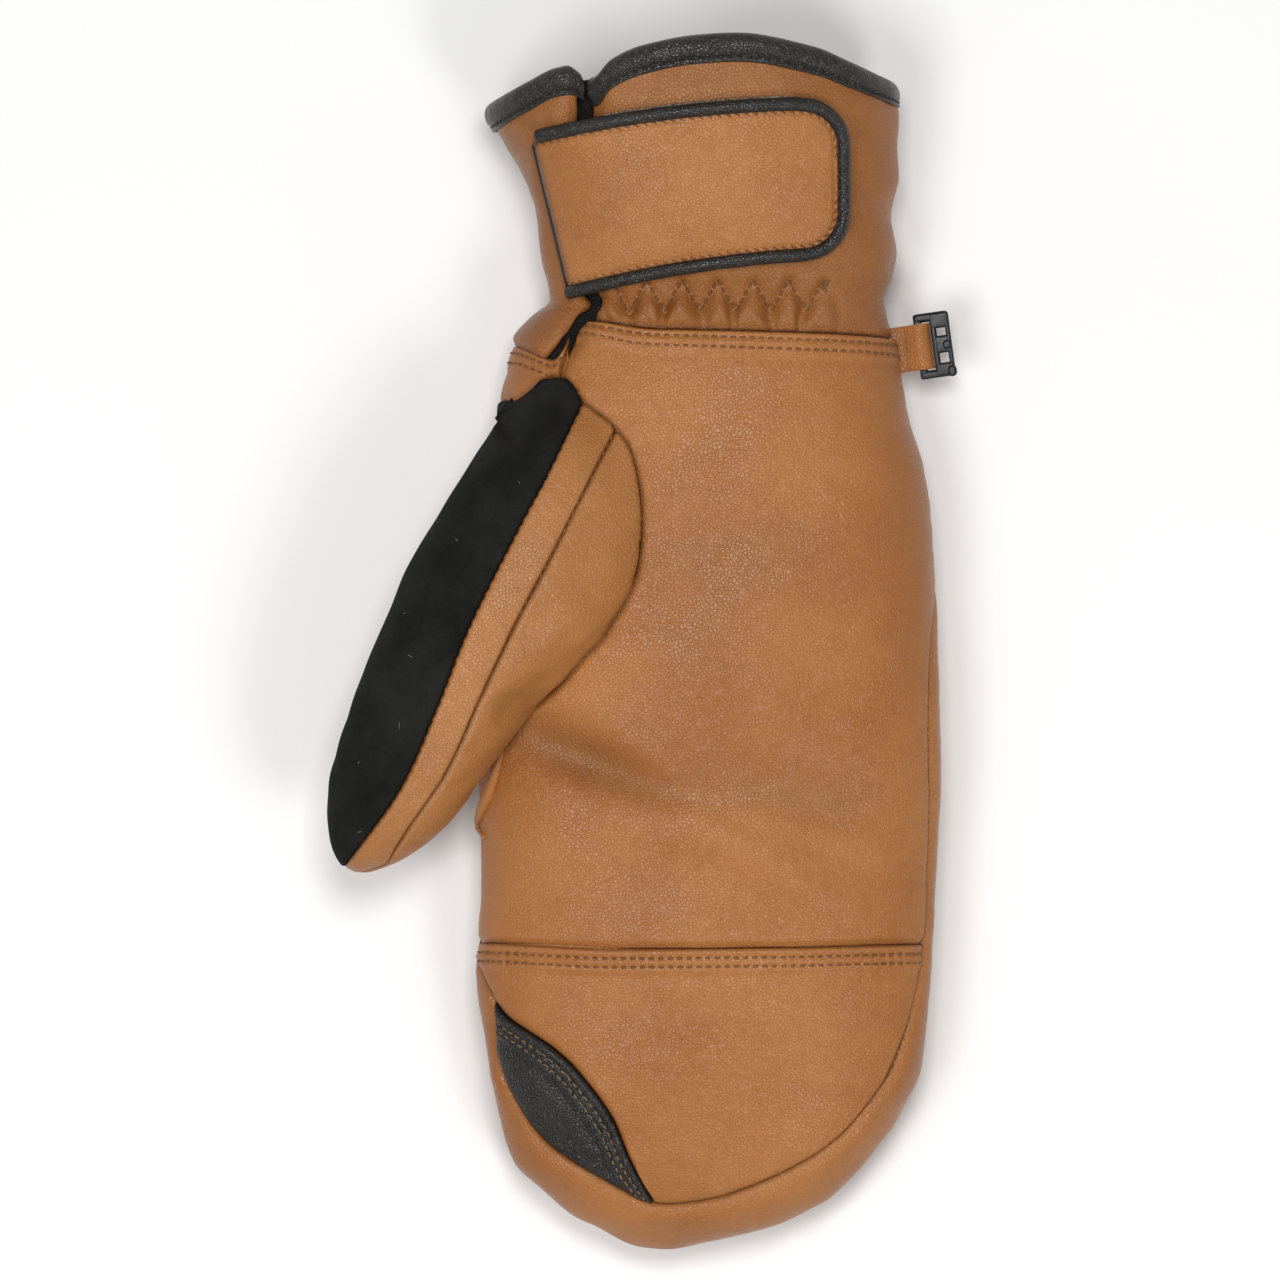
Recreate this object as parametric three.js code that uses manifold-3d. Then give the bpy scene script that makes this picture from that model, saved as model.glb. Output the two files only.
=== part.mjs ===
// A padded leather mitten for the right hand, palm side up, lying on the back of the hand.
// Millimetres. +Z is up, +Y runs to the cuff, -X is the thumb side.
// The origin is on the flat underside, on the hand's centre line, halfway along the mitten.
import * as THREE from "three";
import { mergeVertices } from "three/addons/utils/BufferGeometryUtils.js";
import Module from "manifold-3d";

const wasm = await Module();
wasm.setup();
const { Manifold, Mesh: SolidMesh } = wasm;

// Driving dimensions
const MITTEN_LENGTH = 305; // fingertips to the top of the cuff
const HAND_WIDTH = 116;
const HAND_DEPTH = 48; // thickness of the padded hand as it lies
const WALL = 3; // leather with its padding
const SEAM_GAP = 0.35; // between two neighbouring pieces
const SIDE_SEAM_HEIGHT = 14; // of the seam along both sides of the hand
const TOP_FULLNESS = 2.5; // superellipse exponents of the cross-section
const UNDER_FULLNESS = 2.8;

const WRIST_STATION = 0.2525 * MITTEN_LENGTH; // y of the seam between hand and cuff
const WRIST_SLANT = 6; // how far that seam wanders
const SLANT_BELOW = 47; // how far into the hand and into the cuff the pieces follow that
const SLANT_ABOVE = 23;
const CUFF_STATION = 0.4544 * MITTEN_LENGTH; // y of the cuff's edge at the little finger side
const CUFF_ARCH = 12; // how far the edge arches above it

const THUMB_LENGTH = 137; // base end to tip, with the part that is sunk in the hand
const THUMB_WIDTH = 49;
const THUMB_DEPTH = 38;
const THUMB_SPLAY = 29.7; // degrees from the hand's length
const THUMB_ROOT = { across: -0.193, along: 0.7026 }; // base end, as shares of width and length
const THUMB_BASE_ROUND = 17; // length of the rounded base end
const THUMB_TIP_ROUND = 24;
const THUMB_UNDER_SEAM = 235; // degrees round the thumb, from the palm side over the top

const VENT_DEPTH = 6; // of the valley that the cuff's vent makes
const VENT_WIDTH = 3.4;
const VENT_OPENING = 3; // between the two edges of the vent
const GUSSET_WIDTH = 9;
const GUSSET_THICKNESS = 1.2;

const GATHER_PITCH = 8.2; // of the elastic gathers over the wrist
const GATHER_DEPTH = 0.7;
const GATHER_BAND = 7;

const BINDING_WIDTH = 5.2;
const BINDING_THICKNESS = 1.1;

const STRAP_LENGTH = 75;
const STRAP_WIDTH = 43; // at its sewn end
const STRAP_END_WIDTH = 40.5;
const STRAP_THICKNESS = 2.4;
const STRAP_CORNER = 12;
const STRAP_ACROSS = 0.304; // middle of its round end, as a share of the hand's width
const STRAP_BELOW_EDGE = 23.6; // from there to the cuff's edge
const STRAP_DROP = 9; // how far its sewn end lies below its round end
const PIPING_DIAMETER = 3.5;

const CLIP_LENGTH = 16.5;
const CLIP_WIDTH = 8.6;
const CLIP_THICKNESS = 3.2;
const CLIP_BAR = 2;
const CLIP_LEAN = -8; // degrees
const CLIP_STATION = 0.241 * MITTEN_LENGTH;
const CLIP_HEIGHT = 18;
const LOOP_WIDTH = 11.5;
const LOOP_LENGTH = 6.5;
const LOOP_LEATHER = 1.1;
const LOOP_ROOT = 12; // from the clip's bar to the end that is sewn in

// Cross-sections of the hand and cuff. along is a share of the mitten's length from the fingertips,
// left and right are shares of the hand's width, and top, side and base shares of its depth.
const SECTIONS = [
  { along: 0.0, left: -0.15, right: -0.06, top: 0.36, side: 0.31, base: 0.27 },
  { along: 0.008, left: -0.2, right: 0.04, top: 0.47, side: 0.32, base: 0.2 },
  { along: 0.016, left: -0.237, right: 0.127, top: 0.53, side: 0.33, base: 0.16 },
  { along: 0.025, left: -0.287, right: 0.185, top: 0.58, side: 0.34, base: 0.12 },
  { along: 0.041, left: -0.34, right: 0.263, top: 0.64, side: 0.35, base: 0.07 },
  { along: 0.07, left: -0.42, right: 0.336, top: 0.72, side: 0.36, base: 0.02 },
  { along: 0.11, left: -0.453, right: 0.414, top: 0.79, side: 0.37, base: -0.02 },
  { along: 0.15, left: -0.474, right: 0.461, top: 0.84, side: 0.38, base: -0.04 },
  { along: 0.23, left: -0.5, right: 0.481, top: 0.9, side: 0.4, base: -0.05 },
  { along: 0.31, left: -0.492, right: 0.49, top: 0.94, side: 0.41, base: -0.05 },
  { along: 0.39, left: -0.5, right: 0.502, top: 0.98, side: 0.42, base: -0.05 },
  { along: 0.52, left: -0.49, right: 0.49, top: 1.01, side: 0.42, base: -0.05 },
  { along: 0.6, left: -0.475, right: 0.481, top: 0.99, side: 0.42, base: -0.05 },
  { along: 0.64, left: -0.465, right: 0.466, top: 0.97, side: 0.42, base: -0.04 },
  { along: 0.69, left: -0.455, right: 0.428, top: 0.94, side: 0.42, base: -0.03 },
  { along: 0.745, left: -0.425, right: 0.402, top: 0.9, side: 0.42, base: -0.01 },
  { along: 0.765, left: -0.385, right: 0.385, top: 0.88, side: 0.42, base: 0.0 },
  { along: 0.78, left: -0.345, right: 0.379, top: 0.88, side: 0.43, base: 0.01 },
  { along: 0.8, left: -0.355, right: 0.396, top: 0.92, side: 0.44, base: 0.0 },
  { along: 0.82, left: -0.364, right: 0.405, top: 0.97, side: 0.45, base: -0.01 },
  { along: 0.85, left: -0.376, right: 0.394, top: 1.02, side: 0.46, base: -0.02 },
  { along: 0.88, left: -0.4, right: 0.41, top: 1.06, side: 0.47, base: 0.0 },
  { along: 0.93, left: -0.467, right: 0.408, top: 1.11, side: 0.48, base: 0.05 },
  { along: 0.96, left: -0.474, right: 0.387, top: 1.13, side: 0.48, base: 0.055 },
  { along: 1.0, left: -0.474, right: 0.38, top: 1.14, side: 0.48, base: 0.055 },
];

// The seam between hand and cuff: rise is a share of its slant.
const WRIST_EDGE = [
  { across: -0.5, rise: -0.6 },
  { across: -0.34, rise: -1.0 },
  { across: -0.27, rise: 0.45 },
  { across: -0.12, rise: 0.13 },
  { across: 0.07, rise: 0.05 },
  { across: 0.33, rise: -0.12 },
  { across: 0.42, rise: -0.3 },
];

// The cuff's edge over the palm side and under it: rise is a share of the cuff's arch.
const PALM_EDGE = [
  { across: -0.49, rise: -0.5 },
  { across: -0.39, rise: -0.02 },
  { across: -0.33, rise: 0.25 },
  { across: -0.3, rise: 0.29 },
  { across: -0.272, rise: 0.13 },
  { across: -0.25, rise: 0.05 },
  { across: -0.209, rise: 0.42 },
  { across: -0.144, rise: 0.7 },
  { across: -0.017, rise: 0.93 },
  { across: 0.067, rise: 0.97 },
  { across: 0.235, rise: 0.69 },
  { across: 0.302, rise: 0.43 },
  { across: 0.362, rise: 0.17 },
  { across: 0.4, rise: 0.0 },
];
const BACK_EDGE = [
  { across: -0.49, rise: -0.5 },
  { across: -0.3, rise: 0.05 },
  { across: 0.0, rise: 0.45 },
  { across: 0.25, rise: 0.35 },
  { across: 0.4, rise: 0.0 },
];

// The vent runs from the cuff's edge to the thumb. depth is a share of the vent's depth.
const VENT = [
  { along: 0.68, across: -0.352, depth: 0.0 },
  { along: 0.72, across: -0.335, depth: 0.5 },
  { along: 0.75, across: -0.29, depth: 0.75 },
  { along: 0.785, across: -0.256, depth: 0.85 },
  { along: 0.85, across: -0.262, depth: 1.0 },
  { along: 0.92, across: -0.265, depth: 0.9 },
  { along: 0.97, across: -0.265, depth: 0.6 },
];

// Soft dents in the palm: length, width and depth are shares of the hand's width, turn is in degrees.
const DENTS = [
  { across: -0.22, along: 0.42, turn: -16, length: 0.22, width: 0.06, depth: 0.024 },
  { across: 0.2, along: 0.375, turn: -6, length: 0.22, width: 0.065, depth: 0.014 },
  { across: 0.05, along: 0.33, turn: -26, length: 0.26, width: 0.055, depth: -0.01 },
  { across: -0.03, along: 0.47, turn: -20, length: 0.2, width: 0.07, depth: -0.009 },
];

// The seam where the back wraps round the fingertips on to the palm side, from the little finger
// side to the thumb side, as shares of the hand's width and the mitten's length.
const RIM_SEAM = [
  { across: 0.52, along: 0.6 },
  { across: 0.483, along: 0.52 },
  { across: 0.478, along: 0.4 },
  { across: 0.477, along: 0.33 },
  { across: 0.465, along: 0.243 },
  { across: 0.444, along: 0.203 },
  { across: 0.42, along: 0.17 },
  { across: 0.386, along: 0.14 },
  { across: 0.336, along: 0.114 },
  { across: 0.282, along: 0.091 },
  { across: 0.198, along: 0.069 },
  { across: 0.099, along: 0.051 },
  { across: 0.0, along: 0.039 },
  { across: -0.084, along: 0.035 },
  { across: -0.149, along: 0.039 },
  { across: -0.259, along: 0.062 },
  { across: -0.366, along: 0.091 },
  { across: -0.412, along: 0.114 },
  { across: -0.446, along: 0.14 },
  { across: -0.459, along: 0.159 },
  { across: -0.463, along: 0.187 },
  { across: -0.468, along: 0.203 },
  { across: -0.485, along: 0.217 },
  { across: -0.56, along: 0.235 },
];
const FINGER_SEAM = [
  { across: -0.56, along: 0.25 },
  { across: -0.49, along: 0.251 },
  { across: -0.2, along: 0.247 },
  { across: 0.15, along: 0.248 },
  { across: 0.46, along: 0.25 },
  { across: 0.56, along: 0.25 },
];
const PATCH_SEAM = [
  { across: -0.56, along: 0.225 },
  { across: -0.468, along: 0.203 },
  { across: -0.442, along: 0.191 },
  { across: -0.392, along: 0.178 },
  { across: -0.343, along: 0.166 },
  { across: -0.302, along: 0.153 },
  { across: -0.263, along: 0.136 },
  { across: -0.209, along: 0.107 },
  { across: -0.17, along: 0.072 },
  { across: -0.121, along: 0.038 },
  { across: -0.1, along: 0.01 },
  { across: -0.08, along: -0.05 },
];

// The thumb's cross-sections and seams. along is a share of the thumb's length from its base end,
// outer and palm are the shares of its width on both sides of its axis, halfDepth is a share of its
// depth, height is a share of the hand's depth, and patchEdge and sideSeam are degrees round it,
// from the palm side over the top.
const THUMB = [
  { along: 0.0, outer: 0.46, palm: 0.22, halfDepth: 0.5, height: 0.69, patchEdge: 111, sideSeam: 76 },
  { along: 0.08, outer: 0.465, palm: 0.28, halfDepth: 0.5, height: 0.73, patchEdge: 110, sideSeam: 76 },
  { along: 0.15, outer: 0.47, palm: 0.37, halfDepth: 0.5, height: 0.76, patchEdge: 108, sideSeam: 75 },
  { along: 0.2, outer: 0.475, palm: 0.46, halfDepth: 0.5, height: 0.78, patchEdge: 108, sideSeam: 74.5 },
  { along: 0.24, outer: 0.48, palm: 0.53, halfDepth: 0.5, height: 0.8, patchEdge: 107, sideSeam: 74.5 },
  { along: 0.32, outer: 0.49, palm: 0.62, halfDepth: 0.5, height: 0.84, patchEdge: 106, sideSeam: 74 },
  { along: 0.39, outer: 0.495, palm: 0.64, halfDepth: 0.5, height: 0.87, patchEdge: 105, sideSeam: 73 },
  { along: 0.46, outer: 0.5, palm: 0.55, halfDepth: 0.5, height: 0.89, patchEdge: 103, sideSeam: 71 },
  { along: 0.54, outer: 0.472, palm: 0.455, halfDepth: 0.49, height: 0.9, patchEdge: 99.5, sideSeam: 68.5 },
  { along: 0.68, outer: 0.425, palm: 0.385, halfDepth: 0.46, height: 0.9, patchEdge: 92.5, sideSeam: 56 },
  { along: 0.81, outer: 0.355, palm: 0.345, halfDepth: 0.42, height: 0.87, patchEdge: 87, sideSeam: 51 },
  { along: 0.9, outer: 0.295, palm: 0.29, halfDepth: 0.37, height: 0.83, patchEdge: 84, sideSeam: 47 },
  { along: 0.96, outer: 0.25, palm: 0.24, halfDepth: 0.34, height: 0.81, patchEdge: 88, sideSeam: 35 },
  { along: 1.0, outer: 0.22, palm: 0.2, halfDepth: 0.32, height: 0.8, patchEdge: 92, sideSeam: 27 },
];

const lerp = THREE.MathUtils.lerp;
const clamp = THREE.MathUtils.clamp;
const smooth = (x, from, to) => THREE.MathUtils.smoothstep(x, from, to);
const acrossToX = (across) => across * HAND_WIDTH;
const alongToY = (along) => (along - 0.5) * MITTEN_LENGTH;
const yToAlong = (y) => y / MITTEN_LENGTH + 0.5;
const bell = (distance, width) => Math.exp(-((distance / width) ** 2));

// A smooth reading of one column of a table, with no overshoot between its rows.
function column(rows, key, name) {
  const x = rows.map((row) => row[key]);
  const y = rows.map((row) => row[name]);
  const slope = x.slice(1).map((end, i) => (y[i + 1] - y[i]) / (end - x[i]));
  const tangent = x.map((_, i) => {
    const before = slope[Math.max(i - 1, 0)];
    const after = slope[Math.min(i, slope.length - 1)];
    return before * after <= 0 ? 0 : (2 * before * after) / (before + after);
  });
  return (value) => {
    const at = clamp(value, x[0], x[x.length - 1]);
    let i = 0;
    while (i < x.length - 2 && at > x[i + 1]) i += 1;
    const step = x[i + 1] - x[i];
    const t = (at - x[i]) / step;
    const rise = y[i + 1] - y[i];
    const bend = t * (1 - t) * step;
    const ends = (1 - t) * (tangent[i] - rise / step) - t * (tangent[i + 1] - rise / step);
    return y[i] + rise * t + bend * ends;
  };
}

function columns(rows, key) {
  const names = Object.keys(rows[0]).filter((name) => name !== key);
  const readers = names.map((name) => column(rows, key, name));
  return (value) => Object.fromEntries(names.map((name, i) => [name, readers[i](value)]));
}

const sectionAt = columns(SECTIONS, "along");
const ventAt = columns(VENT, "along");
const wristEdgeAt = column(WRIST_EDGE, "across", "rise");
const palmEdgeAt = column(PALM_EDGE, "across", "rise");
const backEdgeAt = column(BACK_EDGE, "across", "rise");
const thumbAt = columns(THUMB, "along");

// The real y of a station: the wrist seam slants and the cuff's edge arches.
function warpedY(station, x, under) {
  const below = smooth(station, WRIST_STATION - SLANT_BELOW, WRIST_STATION);
  const nearWrist = below * (1 - smooth(station, WRIST_STATION, WRIST_STATION + SLANT_ABOVE));
  const nearEdge = smooth(station, WRIST_STATION + 15, CUFF_STATION);
  const edge = (under ? backEdgeAt : palmEdgeAt)(x / HAND_WIDTH);
  const slant = (under ? 0 : wristEdgeAt(x / HAND_WIDTH)) * WRIST_SLANT;
  return station + slant * nearWrist + edge * CUFF_ARCH * nearEdge;
}

const GATHER_END = acrossToX(0.32);

function dentDepth(x, y) {
  return DENTS.reduce((sum, dent) => {
    const turn = THREE.MathUtils.degToRad(dent.turn);
    const dx = x - acrossToX(dent.across);
    const dy = y - alongToY(dent.along);
    const lengthwise = dx * Math.cos(turn) + dy * Math.sin(turn);
    const crosswise = dy * Math.cos(turn) - dx * Math.sin(turn);
    const spread = bell(lengthwise, dent.length * HAND_WIDTH) * bell(crosswise, dent.width * HAND_WIDTH);
    return sum + dent.depth * HAND_WIDTH * spread;
  }, 0);
}

function gatherDepth(x, y) {
  const vent = acrossToX(ventAt(yToAlong(y)).across);
  const inBand = bell(y - WRIST_STATION - GATHER_BAND - 1, GATHER_BAND);
  const onCuff = smooth(y, WRIST_STATION - 3, WRIST_STATION + 3);
  const across = smooth(x, vent, vent + GATHER_PITCH) * (1 - smooth(x, 0.24 * HAND_WIDTH, GATHER_END));
  return GATHER_DEPTH * (1 + Math.cos((2 * Math.PI * x) / GATHER_PITCH)) * inBand * onCuff * across;
}

function ventDepth(x, y) {
  const vent = ventAt(yToAlong(y));
  return VENT_DEPTH * vent.depth * bell(x - acrossToX(vent.across), VENT_WIDTH);
}

// A point of the hand and cuff. angle 0 is the little finger side and half a turn the thumb side,
// over the palm. inset moves it into the wall, or out of it when negative.
function skin(station, angle, inset = 0, vented = true) {
  const under = Math.sin(angle) < 0;
  const nominal = sectionAt(yToAlong(station));
  const nominalX = acrossToX(lerp(nominal.left, nominal.right, (1 + Math.cos(angle)) / 2));
  const y = warpedY(station, nominalX, under);
  const nearTip = 1 - smooth(y, alongToY(0.05), alongToY(0.2));
  const section = sectionAt(yToAlong(y - inset * nearTip));
  const middle = acrossToX((section.left + section.right) / 2);
  const half = Math.max(acrossToX((section.right - section.left) / 2) - inset, 0.5);
  const fullness = under ? UNDER_FULLNESS : TOP_FULLNESS;
  const across = Math.sign(Math.cos(angle)) * Math.abs(Math.cos(angle)) ** (2 / fullness);
  const upward = Math.abs(Math.sin(angle)) ** (2 / fullness);
  const x = middle + half * across;
  const side = section.side * HAND_DEPTH;
  if (under) {
    const reach = Math.max(side - section.base * HAND_DEPTH - inset, 0.5);
    return new THREE.Vector3(x, y, Math.max(side - reach * upward, inset, 0));
  }
  const rise = Math.max(section.top * HAND_DEPTH - side - inset, 0.5);
  const relief = dentDepth(x, y) + gatherDepth(x, y) + (vented ? ventDepth(x, y) : 0);
  const lowest = side - 0.4 * rise;
  return new THREE.Vector3(x, y, Math.max(side + rise * upward - relief * upward, lowest));
}

// The height of the palm side over a place, with no vent in it: what the strap lies on.
function palmHeight(x, y, lift) {
  const section = sectionAt(yToAlong(y));
  const middle = acrossToX((section.left + section.right) / 2);
  const half = acrossToX((section.right - section.left) / 2) + lift;
  const share = Math.min(Math.abs(x - middle) / half, 1);
  const side = section.side * HAND_DEPTH;
  const rise = section.top * HAND_DEPTH - side + lift;
  return side + rise * (1 - share ** TOP_FULLNESS) ** (1 / TOP_FULLNESS);
}

const splay = THREE.MathUtils.degToRad(THUMB_SPLAY);
const thumbRun = new THREE.Vector3(-Math.sin(splay), -Math.cos(splay), 0);
const thumbSide = new THREE.Vector3(Math.cos(splay), -Math.sin(splay), 0);
const thumbStart = new THREE.Vector3(acrossToX(THUMB_ROOT.across), alongToY(THUMB_ROOT.along), 0);

// 0 at the very end of the thumb and 1 where its rounded end is full.
function endRound(distance, length) {
  const left = 1 - clamp(distance / length, 0, 1);
  return (1 - left ** 2.3) ** (1 / 2.3);
}

// A point of the thumb, a distance from its base end and an angle round it.
function thumbSkin(distance, angle, inset = 0) {
  const section = thumbAt(distance / THUMB_LENGTH);
  const base = endRound(distance - inset, THUMB_BASE_ROUND);
  const tip = endRound(THUMB_LENGTH - inset - distance, THUMB_TIP_ROUND);
  const side = Math.cos(angle) > 0 ? section.palm : section.outer;
  const halfWidth = (side * THUMB_WIDTH - inset) * base * tip;
  const halfDepth = (section.halfDepth * THUMB_DEPTH - inset) * base * tip;
  return thumbStart
    .clone()
    .addScaledVector(thumbRun, distance)
    .addScaledVector(thumbSide, halfWidth * Math.cos(angle))
    .setZ(section.height * HAND_DEPTH + halfDepth * Math.sin(angle));
}

// Solids
function solidFrom(geometry) {
  geometry.deleteAttribute("normal");
  geometry.deleteAttribute("uv");
  const merged = mergeVertices(geometry, 1e-4);
  const index = [...merged.index.array];
  const faces = [];
  for (let i = 0; i < index.length; i += 3) {
    const [a, b, c] = index.slice(i, i + 3);
    if (a !== b && b !== c && a !== c) faces.push(a, b, c);
  }
  const build = (triangles) =>
    new Manifold(
      new SolidMesh({
        numProp: 3,
        vertProperties: merged.attributes.position.array,
        triVerts: new Uint32Array(triangles),
      }),
    );
  const solid = build(faces);
  return solid.volume() > 0 ? solid : build(faces.reverse());
}

function geometryOf(points, faces) {
  return new THREE.BufferGeometry().setFromPoints(points).setIndex(faces);
}

// A closed solid through rings of points, with a fan over each end.
function loft(rings) {
  const count = rings[0].length;
  const points = rings.flat();
  const faces = [];
  for (let i = 0; i < rings.length - 1; i += 1)
    for (let j = 0; j < count; j += 1) {
      const [a, b] = [i * count + j, i * count + ((j + 1) % count)];
      faces.push(a, b, b + count, a, b + count, a + count);
    }
  for (const end of [0, rings.length - 1]) {
    const middle = rings[end].reduce((sum, p) => sum.add(p), new THREE.Vector3());
    points.push(middle.divideScalar(count));
    for (let j = 0; j < count; j += 1) {
      const edge = [end * count + j, end * count + ((j + 1) % count)];
      faces.push(...(end ? edge : edge.reverse()), points.length - 1);
    }
  }
  return solidFrom(geometryOf(points, faces));
}

// A closed solid between two grids of points with the same rows and columns.
function sheet(outer, inner) {
  const rows = outer.length;
  const count = outer[0].length;
  const at = (side, i, j) => (side * rows + i) * count + j;
  const faces = [];
  const quad = (a, b, c, d) => faces.push(a, b, c, a, c, d);
  for (let i = 0; i < rows - 1; i += 1)
    for (let j = 0; j < count - 1; j += 1) {
      quad(at(0, i, j), at(0, i, j + 1), at(0, i + 1, j + 1), at(0, i + 1, j));
      quad(at(1, i, j), at(1, i + 1, j), at(1, i + 1, j + 1), at(1, i, j + 1));
    }
  for (let i = 0; i < rows - 1; i += 1) {
    quad(at(0, i, 0), at(0, i + 1, 0), at(1, i + 1, 0), at(1, i, 0));
    quad(at(0, i + 1, count - 1), at(0, i, count - 1), at(1, i, count - 1), at(1, i + 1, count - 1));
  }
  for (let j = 0; j < count - 1; j += 1) {
    quad(at(0, 0, j + 1), at(0, 0, j), at(1, 0, j), at(1, 0, j + 1));
    quad(at(0, rows - 1, j), at(0, rows - 1, j + 1), at(1, rows - 1, j + 1), at(1, rows - 1, j));
  }
  return solidFrom(geometryOf([...outer.flat(), ...inner.flat()], faces));
}

// An outline on the table moved sideways, to the left of its direction.
function moved(outline, distance) {
  return outline.map((point, i) => {
    const before = outline[(i + outline.length - 1) % outline.length];
    const after = outline[(i + 1) % outline.length];
    const run = after.clone().sub(before).normalize();
    return new THREE.Vector2(point.x - run.y * distance, point.y + run.x * distance);
  });
}

function prism(outline, low, high) {
  const depth = high - low;
  const geometry = new THREE.ExtrudeGeometry(new THREE.Shape(outline), { depth, bevelEnabled: false });
  return solidFrom(geometry.translate(0, 0, low));
}

// Cuts a solid along an upright outline that turns anticlockwise, leaving half a gap on both sides.
function split(solid, outline, low) {
  const half = SEAM_GAP / 2;
  const high = 2 * HAND_DEPTH;
  return {
    inside: solid.intersect(prism(moved(outline, half), low + half, high)),
    outside: solid.subtract(prism(moved(outline, -half), low - half, high)),
  };
}

const place = ({ across, along }) => new THREE.Vector2(acrossToX(across), alongToY(along));
const seamCurve = (table, steps) => new THREE.SplineCurve(table.map(place)).getPoints(steps);
const range = (count, from, to) =>
  Array.from({ length: count }, (_, i) => lerp(from, to, count > 1 ? i / (count - 1) : 0));

// Angles round the hand, closer together over the palm than underneath.
const PALM_COLUMNS = 25;
const BACK_COLUMNS = 10;
const roundAngles = [
  ...range(PALM_COLUMNS + 1, 0, Math.PI).slice(0, -1),
  ...range(BACK_COLUMNS + 1, Math.PI, 2 * Math.PI).slice(0, -1),
];
const TIP_ROWS = [0, 0.004, 0.01, 0.02, 0.034, 0.05, 0.067, 0.088, 0.112, 0.142].map(alongToY);
const handRows = [...TIP_ROWS, ...range(17, alongToY(0.18), WRIST_STATION + 4)];
const cuffRows = range(14, WRIST_STATION - 4, CUFF_STATION);
const skinRing = (station, inset) => roundAngles.map((angle) => skin(station, angle, inset));

// Angles round the cuff, which follow the vent and are closer together beside it.
// They stand on the crests and in the valleys of the gathers.
const VENT_OFFSETS = [2.3, 1.15, 0.5, 0, -0.5, -1.15, -2.3];
const FIRST_CREST = Math.floor(acrossToX(0.34) / (GATHER_PITCH / 2));
const LAST_CREST = Math.ceil(acrossToX(-0.185) / (GATHER_PITCH / 2));
function cuffAngles(station, inset) {
  const vent = acrossToX(ventAt(yToAlong(station)).across);
  const beside = VENT_OFFSETS.map((offset) => angleOver(station, vent + offset * VENT_WIDTH, inset));
  const crests = range(FIRST_CREST - LAST_CREST + 1, FIRST_CREST, LAST_CREST).map((crest) =>
    angleOver(station, (crest * GATHER_PITCH) / 2, inset),
  );
  const between = range(3, crests[crests.length - 1], beside[0])[1];
  const palm = [...range(4, 0, crests[0]).slice(0, -1), ...crests, between];
  const far = range(4, beside[beside.length - 1], Math.PI).slice(1, -1);
  const back = range(BACK_COLUMNS + 1, Math.PI, 2 * Math.PI).slice(0, -1);
  return [...palm, ...beside, ...far, ...back];
}
const cuffRing = (station, inset) =>
  cuffAngles(station, inset).map((angle) => skin(station, angle, inset));

const innerAngles = range(25, 0, 2 * Math.PI).slice(0, -1);
const innerRing = (station, angleSet = innerAngles) => angleSet.map((a) => skin(station, a, WALL));
const innerTipRows = [0.004, 0.015, 0.035, 0.07, 0.12].map((along) => alongToY(along) + WALL);
const innerRows = [...innerTipRows, ...range(10, alongToY(0.19), WRIST_STATION - 5)];
const cuffInner = (station) => cuffRing(station, WALL);
const mouth = cuffInner(CUFF_STATION).map((p) => p.setY(p.y + 2 * WALL));
const cuffHollowRows = [WRIST_STATION - 8, ...cuffRows.slice(1)];

const handOuter = loft(handRows.map((station) => skinRing(station)));
const cuffOuter = loft(cuffRows.map((station) => cuffRing(station, 0)));
const handHollow = loft([...innerRows, WRIST_STATION + 8].map((station) => innerRing(station)));
const hollow = handHollow.add(loft([...cuffHollowRows.map(cuffInner), mouth]));

const THUMB_COLUMNS = 24;
const thumbAngles = range(THUMB_COLUMNS + 1, 0, 2 * Math.PI).slice(0, -1);
function thumbSolid(inset, angles = thumbAngles) {
  const ends = [0.009, 0.07, 0.235, 0.53, 0.88];
  const start = ends.map((share) => inset + share * THUMB_BASE_ROUND);
  const stop = ends.map((share) => THUMB_LENGTH - inset - 0.8 * share * THUMB_TIP_ROUND).reverse();
  const middle = range(8, THUMB_BASE_ROUND + 2, THUMB_LENGTH - THUMB_TIP_ROUND - 2);
  const stations = [...start, ...middle, ...stop];
  return loft(stations.map((d) => angles.map((angle) => thumbSkin(d, angle, inset))));
}

// The seam where the hand meets the cuff leaves half a gap on both sides.
function wristHalf(solid, keepCuff) {
  const line = range(13, -0.7, 0.7).map((across) => {
    const x = acrossToX(across);
    return new THREE.Vector2(x, warpedY(WRIST_STATION, x, false));
  });
  const far = keepCuff ? MITTEN_LENGTH : -MITTEN_LENGTH;
  const shift = keepCuff ? SEAM_GAP / 2 : -SEAM_GAP / 2;
  const edge = line.map((p) => new THREE.Vector2(p.x, p.y + shift));
  const outline = [...edge, new THREE.Vector2(edge[12].x, far), new THREE.Vector2(edge[0].x, far)];
  return solid.intersect(prism(outline, -HAND_DEPTH, 2 * HAND_DEPTH));
}

const thumbOuter = thumbSolid(0);
const thumbHole = thumbSolid(-SEAM_GAP);
const thumbHollow = thumbSolid(WALL, range(15, 0, 2 * Math.PI).slice(0, -1));
const handShell = wristHalf(handOuter.subtract(hollow).subtract(thumbHole), false);
const cuffShell = wristHalf(cuffOuter.subtract(hollow).subtract(thumbHole), true);

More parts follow.
